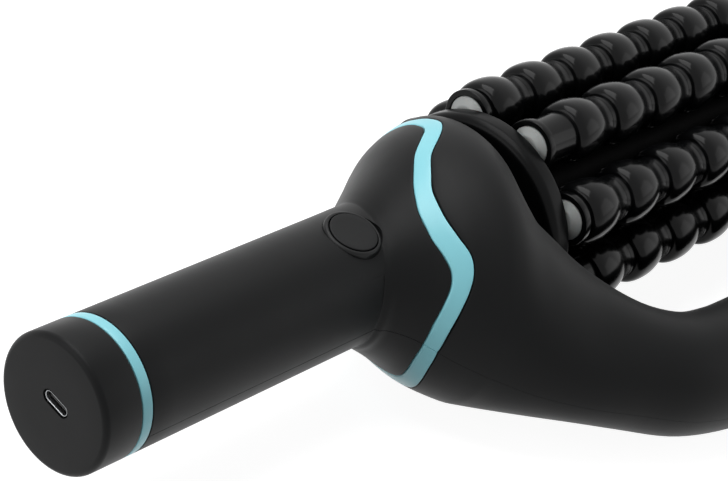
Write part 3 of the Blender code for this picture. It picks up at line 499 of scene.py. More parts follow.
def oblong(width, height):
    """Round-ended outline (y, z) round the inlet's middle, longer along Y."""
    radius = height / 2
    shift = width / 2 - radius
    points = []
    for side, first in ((1, -math.pi / 2), (-1, math.pi / 2)):
        for k in range(PORT_ROUND_STEPS + 1):
            a = first + math.pi * k / PORT_ROUND_STEPS
            points.append((PORT_Y + side * shift + radius * math.cos(a), PORT_Z + radius * math.sin(a)))
    return points


def along_x(outline_rows):
    """Mesh over (x, outline) rows."""
    return skinned([[Vector((x, y, z)) for y, z in outline] for x, outline in outline_rows])


edge = CAP_MOUTH_EDGE
profile = [(CAP_END, 0.0), (CAP_END, CAP_FACE_RADIUS)]
profile += rounded(CAP_END + CAP_EDGE, GRIP_RADIUS - CAP_EDGE, CAP_EDGE, 180, 90, 10)
profile += rounded(CAP_MOUTH - edge, GRIP_RADIUS - edge, edge, 90, 0, 3)
profile += [(CAP_MOUTH, SPIGOT_RADIUS), (SPIGOT_END, SPIGOT_RADIUS), (SPIGOT_END, CAP_BORE)]
profile += [(CAP_END + CAP_WALL, CAP_BORE), (CAP_END + CAP_WALL, 0.0)]
cap = as_object("handle_cap", turned(profile))
hole = oblong(PORT_WIDTH + PORT_ROOM, PORT_HEIGHT + PORT_ROOM)
port_hole = as_object("port_hole", along_x([
    (CAP_END - PORT_HOLE_OUT, hole), (CAP_END + PORT_HOLE_DEPTH, hole),
]))
shaped(cap, [("DIFFERENCE", port_hole)])
lay_down(cap)
dress(cap, soft_black, "housing", ["end_cap"])

trim_blue = surface(
    "pale_turquoise", (0.340, 0.870, 0.980), shift=0.018, patch=0.015,
    rough=0.34, rough_shift=0.05, grain=0.0004, depth=0.00001,
    Specular_IOR_Level=0.45, Coat_Weight=0.15, Coat_Roughness=0.25,
)
RING_BORE = 0.0181
edge = 0.0003
profile = [(-RING_WIDTH, RING_BORE)]
profile += rounded(-RING_WIDTH + edge, GRIP_RADIUS - edge, edge, 180, 90, 4)
profile += rounded(-edge, GRIP_RADIUS - edge, edge, 90, 0, 4) + [(0.0, RING_BORE)]
ring = as_object("trim_ring", turned(profile, looped=True), laid=True)
dress(ring, trim_blue, "housing", ["end_ring"])

# Charging inlet: a drawn and plated steel shell with a rolled front edge, a black tongue inside and
# a row of gold-plated contacts on each side of it. Soldered to the board across the cap.
PORT_SUNK = 0.0003
PORT_FRONT = CAP_END + PORT_SUNK
PORT_DEPTH = 0.0074
PORT_BACK = PORT_FRONT + PORT_DEPTH
PORT_BACK_WALL = 0.0004
PORT_SHELL = 0.00027

plated_steel = surface(
    "plated_steel", (0.40, 0.41, 0.42), shift=0.06, patch=0.002,
    rough=0.30, rough_shift=0.06, grain=0.0002, depth=0.000004, metallic=1.0,
)
# Rolled front edge: depth behind the front, then how much narrower than the shell's outside
rolled_edge = (
    (0.00020, 0.0), (0.00007, 0.00002), (0.00001, 0.00008), (0.0, 0.00020),
    (0.00001, 0.00036), (0.00007, 0.00048), (0.00020, 2 * PORT_SHELL),
)
port_rows = [(PORT_BACK, oblong(PORT_WIDTH, PORT_HEIGHT))]
for x, narrower in rolled_edge:
    port_rows.append((PORT_FRONT + x, oblong(PORT_WIDTH - narrower, PORT_HEIGHT - narrower)))
port_rows.append((
    PORT_BACK - PORT_BACK_WALL, oblong(PORT_WIDTH - 2 * PORT_SHELL, PORT_HEIGHT - 2 * PORT_SHELL),
))
inlet = as_object("inlet_shell", along_x(port_rows), laid=True)
dress(inlet, plated_steel, "housing", ["charging_port"])

tongue_black = surface(
    "tongue_black", (0.004, 0.004, 0.004), shift=0.15, patch=0.002,
    rough=0.45, rough_shift=0.08, grain=0.0003, depth=0.00001,
)
TONGUE_HALF_WIDTH = 0.0033
TONGUE_HALF_HEIGHT = 0.00035
# The tongue's sections: depth behind the front, then how much is taken off for its bevelled tip
tongue_shape = ((0.0008, 0.0003), (0.0011, 0.0), (0.0070, 0.0))
tongue_rows = []
for x, slim in tongue_shape:
    half_wide, half_high = TONGUE_HALF_WIDTH - slim, TONGUE_HALF_HEIGHT - slim / 2
    outline = []
    for y, z in ((-1, -1), (1, -1), (1, 1), (-1, 1)):
        outline.append((PORT_Y + y * half_wide, PORT_Z + z * half_high))
    tongue_rows.append((PORT_FRONT + x, outline))
tongue = as_object("inlet_tongue", along_x(tongue_rows), laid=True)
dress(tongue, tongue_black, "housing", [])

contact_gold = surface(
    "contact_gold", (0.52, 0.38, 0.17), shift=0.08, patch=0.001,
    rough=0.28, rough_shift=0.05, grain=0.0002, depth=0.000002, metallic=1.0,
)
CONTACT_COUNT = 12
CONTACT_PITCH = 0.0005
CONTACT_PLACE = 0.0042
CONTACT_HEIGHT = 0.00037
CONTACT_SIZE = (0.0036, 0.00028, 0.00008)
contacts = bmesh.new()
for k in range(CONTACT_COUNT):
    for side in (1, -1):
        y = PORT_Y + (k - (CONTACT_COUNT - 1) / 2) * CONTACT_PITCH
        z = PORT_Z + side * CONTACT_HEIGHT
        place = Matrix.Translation((PORT_FRONT + CONTACT_PLACE, y, z))
        size = Matrix.Diagonal((*CONTACT_SIZE, 1))
        bmesh.ops.create_cube(contacts, size=1.0, matrix=place @ size)
contacts = as_object("inlet_contacts", contacts, laid=True)
dress(contacts, contact_gold, "housing", [])

# Power button: a flat round cap with a lightly dished top, in a bezel that stands out of the round
# handle. Both are black plastic; the cap presses on the switch under it and springs back.
BUTTON_TOP = 0.0211
BUTTON_RADIUS = 0.0076
BEZEL_TOP = 0.0208
BEZEL_FOOT = 0.0160
BEZEL_INNER_EDGE = 0.00025
BEZEL_OUTER_EDGE = 0.0009

bezel_black = surface(
    "bezel_black", (0.0050, 0.0053, 0.0056), shift=0.10, patch=0.008,
    rough=0.38, rough_shift=0.05, grain=0.00022, depth=0.00001,
    Specular_IOR_Level=0.22,
)
inner, edge = BUTTON_RADIUS + STEP_GAP, BEZEL_INNER_EDGE
outline = [(inner, BEZEL_FOOT)] + rounded(inner + edge, BEZEL_TOP - edge, edge, 180, 90, 4)
edge = BEZEL_OUTER_EDGE
outline += rounded(BEZEL_RADIUS - edge, BEZEL_TOP - edge, edge, 90, 0, 8) + [(BEZEL_RADIUS, BEZEL_FOOT)]
profile = [(height, radius) for radius, height in outline]
bezel = as_object(
    "button_surround", standing(profile, TURNED_SIDES, BUTTON_X, BUTTON_Y, looped=True), laid=True,
)
dress(bezel, bezel_black, "housing", ["button_bezel"])

button_black = surface(
    "button_black", (0.0054, 0.0057, 0.0060), shift=0.08, patch=0.006,
    rough=0.46, rough_shift=0.05, grain=0.00025, depth=0.000015,
    Specular_IOR_Level=0.18,
)
BUTTON_FOOT = 0.0145
BUTTON_FLANGE = 0.0012
BUTTON_FLANGE_RADIUS = 0.0086
BUTTON_EDGE = 0.0003
# The dished top: how far it lies under the rim, then the radius
button_dish = ((0.00006, 0.0055), (0.00013, 0.0030), (0.00015, 0.0))
edge = BUTTON_EDGE
profile = [(BUTTON_FOOT, 0.0), (BUTTON_FOOT, BUTTON_FLANGE_RADIUS)]
profile += [(BUTTON_FOOT + BUTTON_FLANGE, r) for r in (BUTTON_FLANGE_RADIUS, BUTTON_RADIUS)]
profile += [(h, r) for r, h in rounded(BUTTON_RADIUS - edge, BUTTON_TOP - edge, edge, 0, 90, 5)]
profile += [(BUTTON_TOP - sink, r) for sink, r in button_dish]
button = as_object("button_cap", standing(profile, TURNED_SIDES, BUTTON_X, BUTTON_Y), laid=True)
dress(button, button_black, "button", ["power_button"])

# Trim band: two thin moulded strips in pale turquoise that lie in the groove between the handle's
# lip and the housing, and follow its wavy edge round the dome. Glued in, with one joint a side.
BAND_EDGE = 0.00028
BAND_SIDES = 120


def band_half(side):
    """A bent strip with rounded edges, from one seam to the other."""
    rows = []
    for i in range(BAND_SIDES + 1):
        a = side * math.pi * i / BAND_SIDES
        start, end, pace = band_edges(a)
        loop = [(start, BAND_THICKNESS)]
        for along, inset in rounded(0.0, BAND_EDGE, BAND_EDGE, 180, 270, 4):
            loop.append((start + (along + BAND_EDGE) / pace, inset))
        for share in (0.25, 0.5, 0.75):
            loop.append((start + (end - start) * share, 0.0))
        for along, inset in rounded(0.0, BAND_EDGE, BAND_EDGE, 270, 360, 4):
            loop.append((end + (along - BAND_EDGE) / pace, inset))
        loop.append((end, BAND_THICKNESS))
        row = [horn_point(station, a, inset) for station, inset in loop]
        if i in (0, BAND_SIDES):
            for point in row:
                point.z = side * SEAM
        rows.append(row)
    return skinned(rows)


for name, side, node in (("trim_band_upper", 1, "band_upper"), ("trim_band_lower", -1, "band_lower")):
    band = as_object(name, band_half(side), laid=True)
    dress(band, trim_blue, "housing", [node])

# Housing: upper and lower shells of the dome's back, the arm, the second grip, the far arm and the
# closed far hub, moulded hollow with a cut-out for the drum. Five screws from below hold them.
HOUSING_SIDES = 132
DOME_RINGS = 12
DOME_BACK_RINGS = 28
ARM_RINGS = 20
HUB_SIDE_RINGS = 32
HUB_STEP = 6
HOLLOW_HUB_STEP = 16
FRAME_WALL = 0.0028
HUB_ROUND = 0.0254
DRUM_LENGTH = 0.1871
DISC_START = 0.1578
DISC_FACE = 0.1665
MOUTH_START = 0.1512
MOUTH_SLOPE = 0.13
MOUTH_RADIUS = 0.0390
DRUM_ROOM = 0.0465
BEARING_ROOM = 0.0113
BEARING_ROOM_DEPTH = 0.008
BEARING_SIDES = 48
# Stations where the spacing of the skin's rings changes, and those of the hollow's rings
DOME_BACK, ARM_START, ARM_END = 5.5, 9.0, 13.0
hollow_stations = (2.0, 3.5, 5.0, 6.0, 6.5, 7.0, 7.5, 8.0, 9.0, 10.5, 12.0, BOW_STATION)

around = [math.pi / HOUSING_SIDES + 2 * math.pi * k / HOUSING_SIDES for k in range(HOUSING_SIDES)]


def hub_section(rise):
    """The far hub's rounded end: the widest section moved square to itself and drawn in."""
    x, offset, tilt, wide, high = horn[DOME_STATION]
    out, draw = HUB_ROUND * math.sin(rise), math.cos(rise)
    return x - math.cos(tilt) * out, offset - math.sin(tilt) * out, tilt, wide * draw, high * draw


def hub_rings(step, inset=0.0):
    """Rings that close the far hub, at even steps of degrees, and its tip."""
    rings = []
    for rise in range(step, 90, step):
        section = hub_section(math.radians(rise))
        rings.append([oval_point(section, a, inset, True) for a in around])
    x, offset, tilt, _, _ = hub_section(math.pi / 2)
    x += math.cos(tilt) * inset
    offset += math.sin(tilt) * inset
    return rings + [[Vector((2 * MID_X - x, -offset, 0))]]


def stations_between(first, last, steps):
    """Even stations, the first left out."""
    return [first + (last - first) * k / steps for k in range(1, steps + 1)]


def housing_skin():
    """Outer skin, with the tongue that runs under the trim band."""
    under = BAND_THICKNESS + STEP_GAP
    starts, tongue_ends, edges, paces = [], [], [], []
    for a in around:
        start, end, pace = band_edges(a)
        starts.append(start - STEP_GAP / pace - LAP)
        tongue_ends.append(start)
        edges.append(end + BAND_GAP / pace)
        paces.append(pace)
    first = [horn_point(s, a, under) for s, a in zip(starts, around)]
    rings = [[sum(first, Vector()) / len(first)], first]
    rings.append([horn_point(s, a, under) for s, a in zip(tongue_ends, around)])
    rings.append([horn_point(s, a, under) for s, a in zip(edges, around)])
    for turn in (0, 30, 60, 90):
        rise = math.radians(turn)
        rings.append([
            horn_point(s + LIP_EDGE * (1 - math.cos(rise)) / p, a, LIP_EDGE * (1 - math.sin(rise)))
            for s, p, a in zip(edges, paces, around)
        ])
    for k in range(1, DOME_RINGS + 1):
        share = k / DOME_RINGS
        rings.append([
            horn_point(s + LIP_EDGE / p + (DOME_BACK - s - LIP_EDGE / p) * share, a)
            for s, p, a in zip(edges, paces, around)
        ])
    near = stations_between(DOME_BACK, ARM_START, DOME_BACK_RINGS)
    near += stations_between(ARM_START, ARM_END, ARM_RINGS)
    far = [BOW_STATION, ARM_END] + stations_between(ARM_END, ARM_START, ARM_RINGS)
    far += stations_between(ARM_START, DOME_STATION, HUB_SIDE_RINGS)
    rings += [[horn_point(station, a) for a in around] for station in near + [BOW_STATION]]
    rings += [[horn_point(station, a, 0.0, True) for a in around] for station in far]
    return skinned(rings + hub_rings(HUB_STEP))


def housing_hollow():
    """The space inside the housing, all along it."""
    x, offset, _, _, _ = horn[int(hollow_stations[0])]
    rings = [[Vector((x, -offset, 0))]]
    for far, stations in ((False, hollow_stations), (True, hollow_stations[:1:-1])):
        rings += [[horn_point(s, a, FRAME_WALL, far) for a in around] for s in stations]
    return skinned(rings + hub_rings(HOLLOW_HUB_STEP, FRAME_WALL))


def drum_space(wall):
    """Turned space for the drum between its slanted mouths."""
    turns = [math.pi * (1 + 2 * k) / TURNED_SIDES for k in range(TURNED_SIDES)]
    mouth, room = MOUTH_RADIUS + wall, DRUM_ROOM + wall
    start = MOUTH_START - wall

    def ring_at(x, radius, far=False, slope=0.0):
        points = []
        for a in turns:
            y, z = -radius * math.sin(a), radius * math.cos(a)
            place = x + slope * y
            points.append(Vector((2 * MID_X - place if far else place, y, z)))
        return points

    rings = [[Vector((start, 0, 0))], ring_at(start, mouth, False, MOUTH_SLOPE)]
    rings += [ring_at(DISC_START + STEP_GAP, mouth), ring_at(DISC_FACE + STEP_GAP, room)]
    rings += [ring_at(DISC_FACE + STEP_GAP, room, True), ring_at(DISC_START + STEP_GAP, mouth, True)]
    rings += [ring_at(start, mouth, True, MOUTH_SLOPE), [Vector((2 * MID_X - start, 0, 0))]]
    return skinned(rings)


BLOCK_Y = -0.03
BLOCK_LENGTH = 0.6
BLOCK_WIDTH = 0.4
BLOCK_TOP = 0.05


def block(side):
    """A block over one side of the parting plane."""
    near, far = side * SEAM / 2, side * BLOCK_TOP
    made = bmesh.new()
    place = Matrix.Translation((MID_X, BLOCK_Y, (near + far) / 2))
    size = Matrix.Diagonal((BLOCK_LENGTH, BLOCK_WIDTH, abs(far - near), 1))
    bmesh.ops.create_cube(made, size=1.0, matrix=place @ size)
    return as_object("block", made)


ARM_STATION = 8
HUB_POST_RISE = 25
arm_x, arm_offset, _, _, arm_height = horn[ARM_STATION]
hub_x, hub_offset, _, _, hub_height = hub_section(math.radians(HUB_POST_RISE))
housing_posts = (
    (arm_x, arm_offset + POST_RADIUS, arm_height, FRAME_WALL),
    (2 * MID_X - arm_x, arm_offset + POST_RADIUS, arm_height, FRAME_WALL),
    (MID_X - DRUM_LENGTH / 4, BOW_OFFSET, BOW_RADIUS, FRAME_WALL),
    (MID_X + DRUM_LENGTH / 4, BOW_OFFSET, BOW_RADIUS, FRAME_WALL),
    (2 * MID_X - hub_x, hub_offset, hub_height, FRAME_WALL),
)
for name, side, node in (
    ("housing_upper", 1, "frame_shell_upper"), ("housing_lower", -1, "frame_shell_lower"),
):
    shell = as_object(name, housing_skin())
    # The hollow stops a wall short of the drum's space
    hollow = shaped(as_object("hollow", housing_hollow()), [
        ("DIFFERENCE", as_object("keep_off", drum_space(FRAME_WALL))),
    ])
    bore_start = MOUTH_START - FRAME_WALL - BEARING_ROOM_DEPTH
    bore = as_object("bearing_bore", turned(
        [(bore_start, BEARING_ROOM), (2 * MID_X - bore_start, BEARING_ROOM)], BEARING_SIDES,
    ))
    steps = [("INTERSECT", block(side)), ("DIFFERENCE", as_object("space", drum_space(0.0)))]
    steps += [("DIFFERENCE", hollow), ("DIFFERENCE", bore)]
    steps += [("UNION", post(spot, side)) for spot in housing_posts]
    steps += [("DIFFERENCE", post_hole(spot)) for spot in housing_posts]
    shaped(shell, steps)
    lay_down(shell)
    dress(shell, soft_black, "housing", [node])

# Drum: two thick moulded discs with rounded rims carry the roller axles, with a dull black tube
# between them, its colour darkened further as painted shade between the rollers. Satin black plastic;
# a steel hub drives the near disc, a steel stub carries the far one.
DISC_RADIUS = 0.0365
DISC_EDGE = 0.0032
DISC_FACE_EDGE = 0.0016
DISC_FLAT = 0.02
DISC_BORE = 0.0033
AXLE_SEAT = 0.0023
AXLE_SEAT_DEPTH = 0.0050
AXLE_SEAT_OUT = 0.002
AXLE_SEAT_SIDES = 24
ROLLER_COUNT = 8
ROLLER_CIRCLE = 0.0330
ROLLER_PHASE = math.radians(4.5)

roller_places = []
for k in range(ROLLER_COUNT):
    a = ROLLER_PHASE + 2 * math.pi * k / ROLLER_COUNT
    roller_places.append((-ROLLER_CIRCLE * math.sin(a), ROLLER_CIRCLE * math.cos(a)))

satin_black = surface(
    "satin_black", (0.0034, 0.0036, 0.0038), shift=0.10, patch=0.010,
    rough=0.30, rough_shift=0.06, grain=0.0005, depth=0.00001,
    Specular_IOR_Level=0.09,
)
for name, far, node in (("near_plate", False, "near_disc"), ("far_plate", True, "far_disc")):
    edge = DISC_FACE_EDGE
    profile = [(DISC_START, DISC_BORE), (DISC_START, DISC_FLAT)]
    profile += rounded(DISC_START + DISC_EDGE, DISC_RADIUS - DISC_EDGE, DISC_EDGE, 180, 90, 10)
    profile += rounded(DISC_FACE - edge, DISC_RADIUS - edge, edge, 90, 0, 6)
    profile += [(DISC_FACE, DISC_FLAT), (DISC_FACE, DISC_BORE)]
    low, high = DISC_FACE - AXLE_SEAT_DEPTH, DISC_FACE + AXLE_SEAT_OUT
    if far:
        profile = [(2 * MID_X - x, r) for x, r in profile]
        low, high = 2 * MID_X - high, 2 * MID_X - low
    disc = as_object(name, turned(profile, looped=True))
    steps = []
    for y, z in roller_places:
        seat = turned([(low, AXLE_SEAT), (high, AXLE_SEAT)], AXLE_SEAT_SIDES, y=y, z=z)
        steps.append(("DIFFERENCE", as_object("axle_seat", seat)))
    shaped(disc, steps)
    lay_down(disc)
    dress(disc, satin_black, "drum", [node])

CORE_RADIUS = 0.0200
CORE_BORE = 0.0180
CORE_EDGE = 0.0004

# The core's near-black colour is painted shade: black plastic darkened further so that the gaps between
# the rollers read dark.
core_black_and_painted_shade = surface(
    "core_black_and_painted_shade", (0.0008, 0.0008, 0.0009), shift=0.15, patch=0.012,
    rough=0.45, rough_shift=0.05, grain=0.003, depth=0.00002,
    Specular_IOR_Level=0.02,
)
low, high = DISC_FACE + STEP_GAP, 2 * MID_X - DISC_FACE - STEP_GAP
profile = [(low, CORE_BORE), (low, CORE_RADIUS - CORE_EDGE), (low + CORE_EDGE, CORE_RADIUS)]
profile += [(high - CORE_EDGE, CORE_RADIUS), (high, CORE_RADIUS - CORE_EDGE), (high, CORE_BORE)]
core = as_object("core_tube", turned(profile, looped=True), laid=True)
dress(core, core_black_and_painted_shade, "drum", ["drum_core"])

# Rollers: eight glossy black moulded rods of seven or eight beads, set half a bead apart. A bead
# swells from its neck with a round shoulder and falls to a fine lip. Each turns on a steel axle.
ROLLER_GAP = 0.0018
ROLLER_START = DISC_FACE + ROLLER_GAP
ROLLER_LENGTH = 0.1835
BEAD_PITCH = 0.0225
BEAD_LENGTH = 0.0170
BEAD_RADIUS = 0.01028
NECK_RADIUS = 0.0076
NECK_FOOT = 0.0006
FLANGE_RADIUS = 0.0088
FLANGE_WIDTH = 0.0026
FLANGE_EDGE = 0.0004
FLANGE_FILLET = 0.0002
FLANGE_FILLET_RISE = 0.0003
ROLLER_BORE = 0.0050
RECESS_RADIUS = 0.0070
RECESS_DEPTH = 0.0016
ROLLER_SIDES = 72
# A bead and the lip behind it: share of the pitch, then the rise from neck to full radius
bead_shape = (
    (0.000, 0.02), (0.002, 0.14), (0.009, 0.33), (0.026, 0.54), (0.055, 0.72), (0.100, 0.87),
    (0.160, 0.96), (0.225, 0.995), (0.290, 1.0), (0.355, 0.975), (0.425, 0.91), (0.495, 0.80),
    (0.560, 0.66), (0.620, 0.50), (0.675, 0.34), (0.730, 0.20), (0.785, 0.095), (0.835, 0.035),
    (0.870, 0.01),
)
last_bead_shape = bead_shape[:-3]
lip_shape = ((0.884, 0.01), (0.888, 0.055), (0.900, 0.055), (0.904, 0.0), (0.915, -0.03), (0.930, 0.0))


def roller_profile(beads):
    """Beads between two flanges, with a bore and a recess in each end for the sleeve's collar."""
    end, edge = ROLLER_LENGTH, FLANGE_EDGE
    fillet, foot = FLANGE_WIDTH + FLANGE_FILLET, FLANGE_WIDTH + NECK_FOOT
    profile = [(0.0, RECESS_RADIUS)]
    profile += rounded(edge, FLANGE_RADIUS - edge, edge, 180, 90, 4)
    profile += rounded(FLANGE_WIDTH - edge, FLANGE_RADIUS - edge, edge, 90, 0, 4)
    profile += [(fillet, NECK_RADIUS + FLANGE_FILLET_RISE), (foot, NECK_RADIUS)]
    first = ROLLER_LENGTH / 2 - BEAD_PITCH * (beads - 1) / 2
    swell = BEAD_RADIUS - NECK_RADIUS
    for k in range(beads):
        start = first + BEAD_PITCH * k - BEAD_LENGTH / 2
        profile.append((start - NECK_FOOT, NECK_RADIUS))
        shape = bead_shape + lip_shape if k < beads - 1 else last_bead_shape
        profile += [(start + BEAD_PITCH * place, NECK_RADIUS + swell * rise) for place, rise in shape]
    profile += [(end - foot, NECK_RADIUS), (end - fillet, NECK_RADIUS + FLANGE_FILLET_RISE)]
    profile += rounded(end - FLANGE_WIDTH + edge, FLANGE_RADIUS - edge, edge, 180, 90, 4)
    profile += rounded(end - edge, FLANGE_RADIUS - edge, edge, 90, 0, 4)
    profile += [(end, RECESS_RADIUS), (end - RECESS_DEPTH, RECESS_RADIUS)]
    profile += [(end - RECESS_DEPTH, ROLLER_BORE), (RECESS_DEPTH, ROLLER_BORE)]
    return profile + [(RECESS_DEPTH, RECESS_RADIUS)]


gloss_black = surface(
    "gloss_black", (0.0034, 0.0036, 0.0039), shift=0.12, patch=0.012,
    rough=0.16, rough_shift=0.04, grain=0.004, depth=0.00002,
    Specular_IOR_Level=0.15,
)
for k, (y, z) in enumerate(roller_places):
    beads = 7 if k % 2 == 0 else 8
    rod = turned(roller_profile(beads), ROLLER_SIDES, True, ROLLER_START, y, z)
    rod = as_object(f"beaded_rod_{k + 1}", rod, laid=True)
    dress(rod, gloss_black, f"roller_{k + 1}_body", [f"roller_{k + 1}"])

# Roller sleeves: pale grey acetal tubes pressed into the rollers. The collar at each end fills the
# roller's recess and shows as a pale disc that slopes to the boss round the steel axle.
SLEEVE_BORE = 0.00245
SLEEVE_TUBE = 0.0047
SLEEVE_SIDES = 48
COLLAR_RADIUS = 0.0067
COLLAR_DEPTH = 0.0013
COLLAR_EDGE = 0.0003
BOSS_RADIUS = 0.0042
BOSS_RISE = 0.0015
# Edges as pairs: how far along the roller, then how far across it
COLLAR_SLOPE_EDGE = (0.0002, 0.0009)
BOSS_EDGE = (0.0001, 0.0004)

acetal = surface(
    "pale_acetal", (0.500, 0.520, 0.510), shift=0.05, patch=0.006,
    rough=0.42, rough_shift=0.06, grain=0.0004, depth=0.00001,
    Specular_IOR_Level=0.4, Subsurface_Weight=0.05, Subsurface_Scale=0.001,
)
for k, (y, z) in enumerate(roller_places):
    profile = []
    for start, side in ((0.0, 1), (ROLLER_LENGTH, -1)):
        face = start - side * BOSS_RISE
        head = start + side * COLLAR_DEPTH
        end = [(face, SLEEVE_BORE), (face, BOSS_RADIUS - BOSS_EDGE[1])]
        end += [(face + side * BOSS_EDGE[0], BOSS_RADIUS)]
        end += [(start - side * COLLAR_SLOPE_EDGE[0], COLLAR_RADIUS - COLLAR_SLOPE_EDGE[1])]
        end += [(start, COLLAR_RADIUS - COLLAR_EDGE), (start + side * COLLAR_EDGE, COLLAR_RADIUS)]
        end += [(head, COLLAR_RADIUS), (head, SLEEVE_TUBE)]
        profile += end[::side]
    sleeve = turned(profile, SLEEVE_SIDES, True, ROLLER_START, y, z)
    sleeve = as_object(f"axle_sleeve_{k + 1}", sleeve, laid=True)
    dress(sleeve, acetal, f"roller_{k + 1}_body", [f"roller_sleeve_{k + 1}"])

# Works inside: steel axles, shafts, bearings and screws, the motor and gearbox, the cell in its tray
# and the two boards. They stay as packed and only get their finishes.
nodes = frame["nodes"]


def refinish(material, *names):
    """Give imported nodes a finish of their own."""
    for name in names:
        slots = nodes[name].data.materials
        slots.clear()
        slots.append(material)


turned_steel = surface(
    "turned_steel", (0.56, 0.57, 0.58), shift=0.08, patch=0.004,
    rough=0.30, rough_shift=0.08, grain=0.0003, depth=0.000006, metallic=1.0,
)
refinish(turned_steel, *[f"roller_axle_{k}" for k in range(1, ROLLER_COUNT + 1)])
refinish(turned_steel, "output_shaft", "drive_hub", "far_stub", "near_bearing", "far_bearing")

zinc_screw = surface(
    "zinc_screw", (0.46, 0.46, 0.45), shift=0.12, patch=0.001,
    rough=0.38, rough_shift=0.10, grain=0.0002, depth=0.00001, metallic=1.0,
)
refinish(zinc_screw, *[f"shell_screw_{k}" for k in range(1, 7)], "motor_screw_1", "motor_screw_2")

motor_can = surface(
    "motor_can", (0.50, 0.51, 0.52), shift=0.10, patch=0.005,
    rough=0.36, rough_shift=0.09, grain=0.0004, depth=0.00001, metallic=1.0,
)
refinish(motor_can, "drive_motor", "gearbox", "button_switch")

moulded_grey = surface(
    "moulded_grey", (0.17, 0.18, 0.185), shift=0.10, patch=0.008,
    rough=0.52, rough_shift=0.08, grain=0.0004, depth=0.00003,
)
refinish(moulded_grey, "motor_plate", "motor_cradle", "battery_tray")

board_green = surface(
    "board_green", (0.020, 0.150, 0.065), shift=0.18, patch=0.003,
    rough=0.42, rough_shift=0.10, grain=0.0006, depth=0.00002,
)
refinish(board_green, "control_board", "charge_board")

cell_wrap = surface(
    "cell_wrap", (0.030, 0.120, 0.330), shift=0.10, patch=0.006,
    rough=0.33, rough_shift=0.06, grain=0.0010, depth=0.00003,
)
refinish(cell_wrap, "battery_cell")

# Floor, light and camera: a white table that goes on as a white backdrop, one large soft box
# overhead and two weaker ones at the sides. The camera stands where the photograph was taken.
FLOOR_SIZE = 6.0
FLOOR_GAP = 0.0004
floor_mesh = bmesh.new()
bmesh.ops.create_grid(floor_mesh, x_segments=1, y_segments=1, size=FLOOR_SIZE)
floor = as_object("floor", floor_mesh)
floor.location.z = cad_low.z - FLOOR_GAP
floor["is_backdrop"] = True


def seen_directly(tree):
    """1 where the camera, a mirror or a clear body looks at the surface, and 0 for its light."""
    rays = tree.nodes.new("ShaderNodeLightPath")
    value = rays.outputs["Is Camera Ray"]
    for output in ("Is Glossy Ray", "Is Transmission Ray"):
        largest = tree.nodes.new("ShaderNodeMath")
        largest.operation = "MAXIMUM"
        tree.links.new(value, largest.inputs[0])
        tree.links.new(rays.outputs[output], largest.inputs[1])
        value = largest.outputs[0]
    return value


TABLE_COLOUR = (0.45, 0.45, 0.45, 1)
TABLE_LEVEL = 0.93
ROOM_LEVEL = 0.11
WHITE = (1, 1, 1, 1)

white_table = bpy.data.materials.new("white_table")
white_table.use_nodes = True
tree = white_table.node_tree
tree.nodes.remove(tree.nodes["Principled BSDF"])
matt = tree.nodes.new("ShaderNodeBsdfDiffuse")
matt.inputs["Color"].default_value = TABLE_COLOUR
glow = tree.nodes.new("ShaderNodeEmission")
glow.inputs["Color"].default_value = WHITE
level = tree.nodes.new("ShaderNodeMath")
level.operation = "MULTIPLY"
level.inputs[1].default_value = TABLE_LEVEL
tree.links.new(seen_directly(tree), level.inputs[0])
tree.links.new(level.outputs[0], glow.inputs["Strength"])
both = tree.nodes.new("ShaderNodeAddShader")
tree.links.new(matt.outputs[0], both.inputs[0])
tree.links.new(glow.outputs[0], both.inputs[1])
tree.links.new(both.outputs[0], tree.nodes["Material Output"].inputs["Surface"])
floor.data.materials.append(white_table)

scene = bpy.context.scene
world = bpy.data.worlds.new("studio")
scene.world = world
world.use_nodes = True
tree = world.node_tree
ambient = tree.nodes["Background"]
ambient.inputs["Color"].default_value = WHITE
ambient.inputs["Strength"].default_value = ROOM_LEVEL
backdrop = tree.nodes.new("ShaderNodeBackground")
backdrop.inputs["Color"].default_value = WHITE
backdrop.inputs["Strength"].default_value = 1.0
choice = tree.nodes.new("ShaderNodeMixShader")
tree.links.new(seen_directly(tree), choice.inputs[0])
tree.links.new(ambient.outputs[0], choice.inputs[1])
tree.links.new(backdrop.outputs[0], choice.inputs[2])
tree.links.new(choice.outputs[0], tree.nodes["World Output"].inputs["Surface"])


MASSAGER_MIDDLE = (0, 0, 0.04)


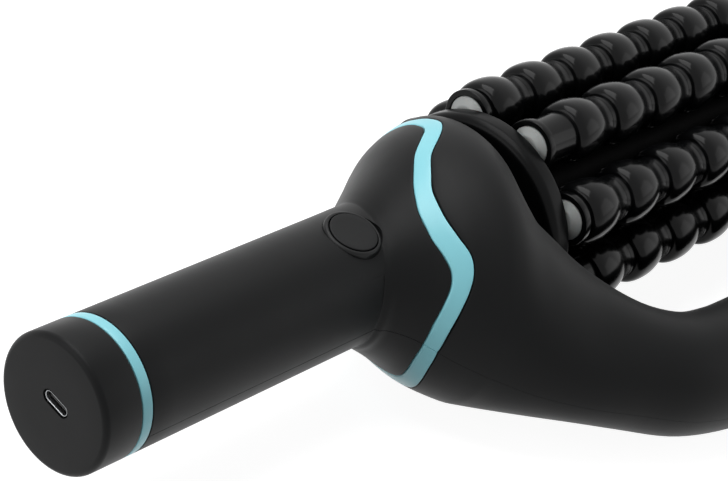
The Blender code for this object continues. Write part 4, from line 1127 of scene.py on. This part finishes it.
def soft_box(name, spot, width, height, watts):
    """A flat lamp that faces the middle of the massager."""
    data = bpy.data.lights.new(name, "AREA")
    data.shape = "RECTANGLE"
    data.size = width
    data.size_y = height
    data.energy = watts
    lamp = bpy.data.objects.new(name, data)
    scene.collection.objects.link(lamp)
    lamp.location = spot
    aim = Vector(MASSAGER_MIDDLE) - Vector(spot)
    lamp.rotation_euler = aim.to_track_quat("-Z", "Y").to_euler()


soft_box("overhead_box", (-0.10, 0.35, 1.25), width=1.2, height=0.9, watts=11.5)
soft_box("left_box", (-1.20, 0.45, 0.60), width=0.8, height=0.8, watts=3.7)
soft_box("right_box", (0.90, -0.90, 0.50), width=0.9, height=0.7, watts=1.2)

# The camera in the making frame. The massager's own axes are given as the camera sees them, with X
# to the right, Y down and Z ahead: first the drum's axis, then two directions square to it.
PHOTO_WIDTH = 728
FOCAL_PIXELS = 2190.6
SENSOR_WIDTH = 36
CAMERA_SPOT = (-0.3612, -0.2289, 0.4118)
CAMERA_ROLL = 60
drum_way = Vector((0.64683, -0.27711, 0.71051)).normalized()
square = Vector((0.6531, -0.2798, -0.7037))
square = (square - drum_way * square.dot(drum_way)).normalized()
square_too = drum_way.cross(square)


def round_drum(degrees):
    """A direction square to the drum's axis, as the camera sees it."""
    a = math.radians(degrees)
    return square * math.cos(a) + square_too * math.sin(a)


grip_way, button_way = round_drum(CAMERA_ROLL), round_drum(CAMERA_ROLL - 90)
right, down, ahead = Matrix((drum_way, -grip_way, button_way)).transposed()
camera_data = bpy.data.cameras.new("camera")
camera_data.sensor_width = SENSOR_WIDTH
camera_data.lens = SENSOR_WIDTH * FOCAL_PIXELS / PHOTO_WIDTH
camera_data.clip_start, camera_data.clip_end = 0.01, 20
camera = bpy.data.objects.new("camera", camera_data)
scene.collection.objects.link(camera)
stand = Matrix((right, -down, -ahead)).transposed().to_4x4()
stand.translation = Vector(CAMERA_SPOT)
camera.matrix_world = rest @ stand
scene.camera = camera
scene.view_settings.view_transform = "Standard"

low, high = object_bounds()
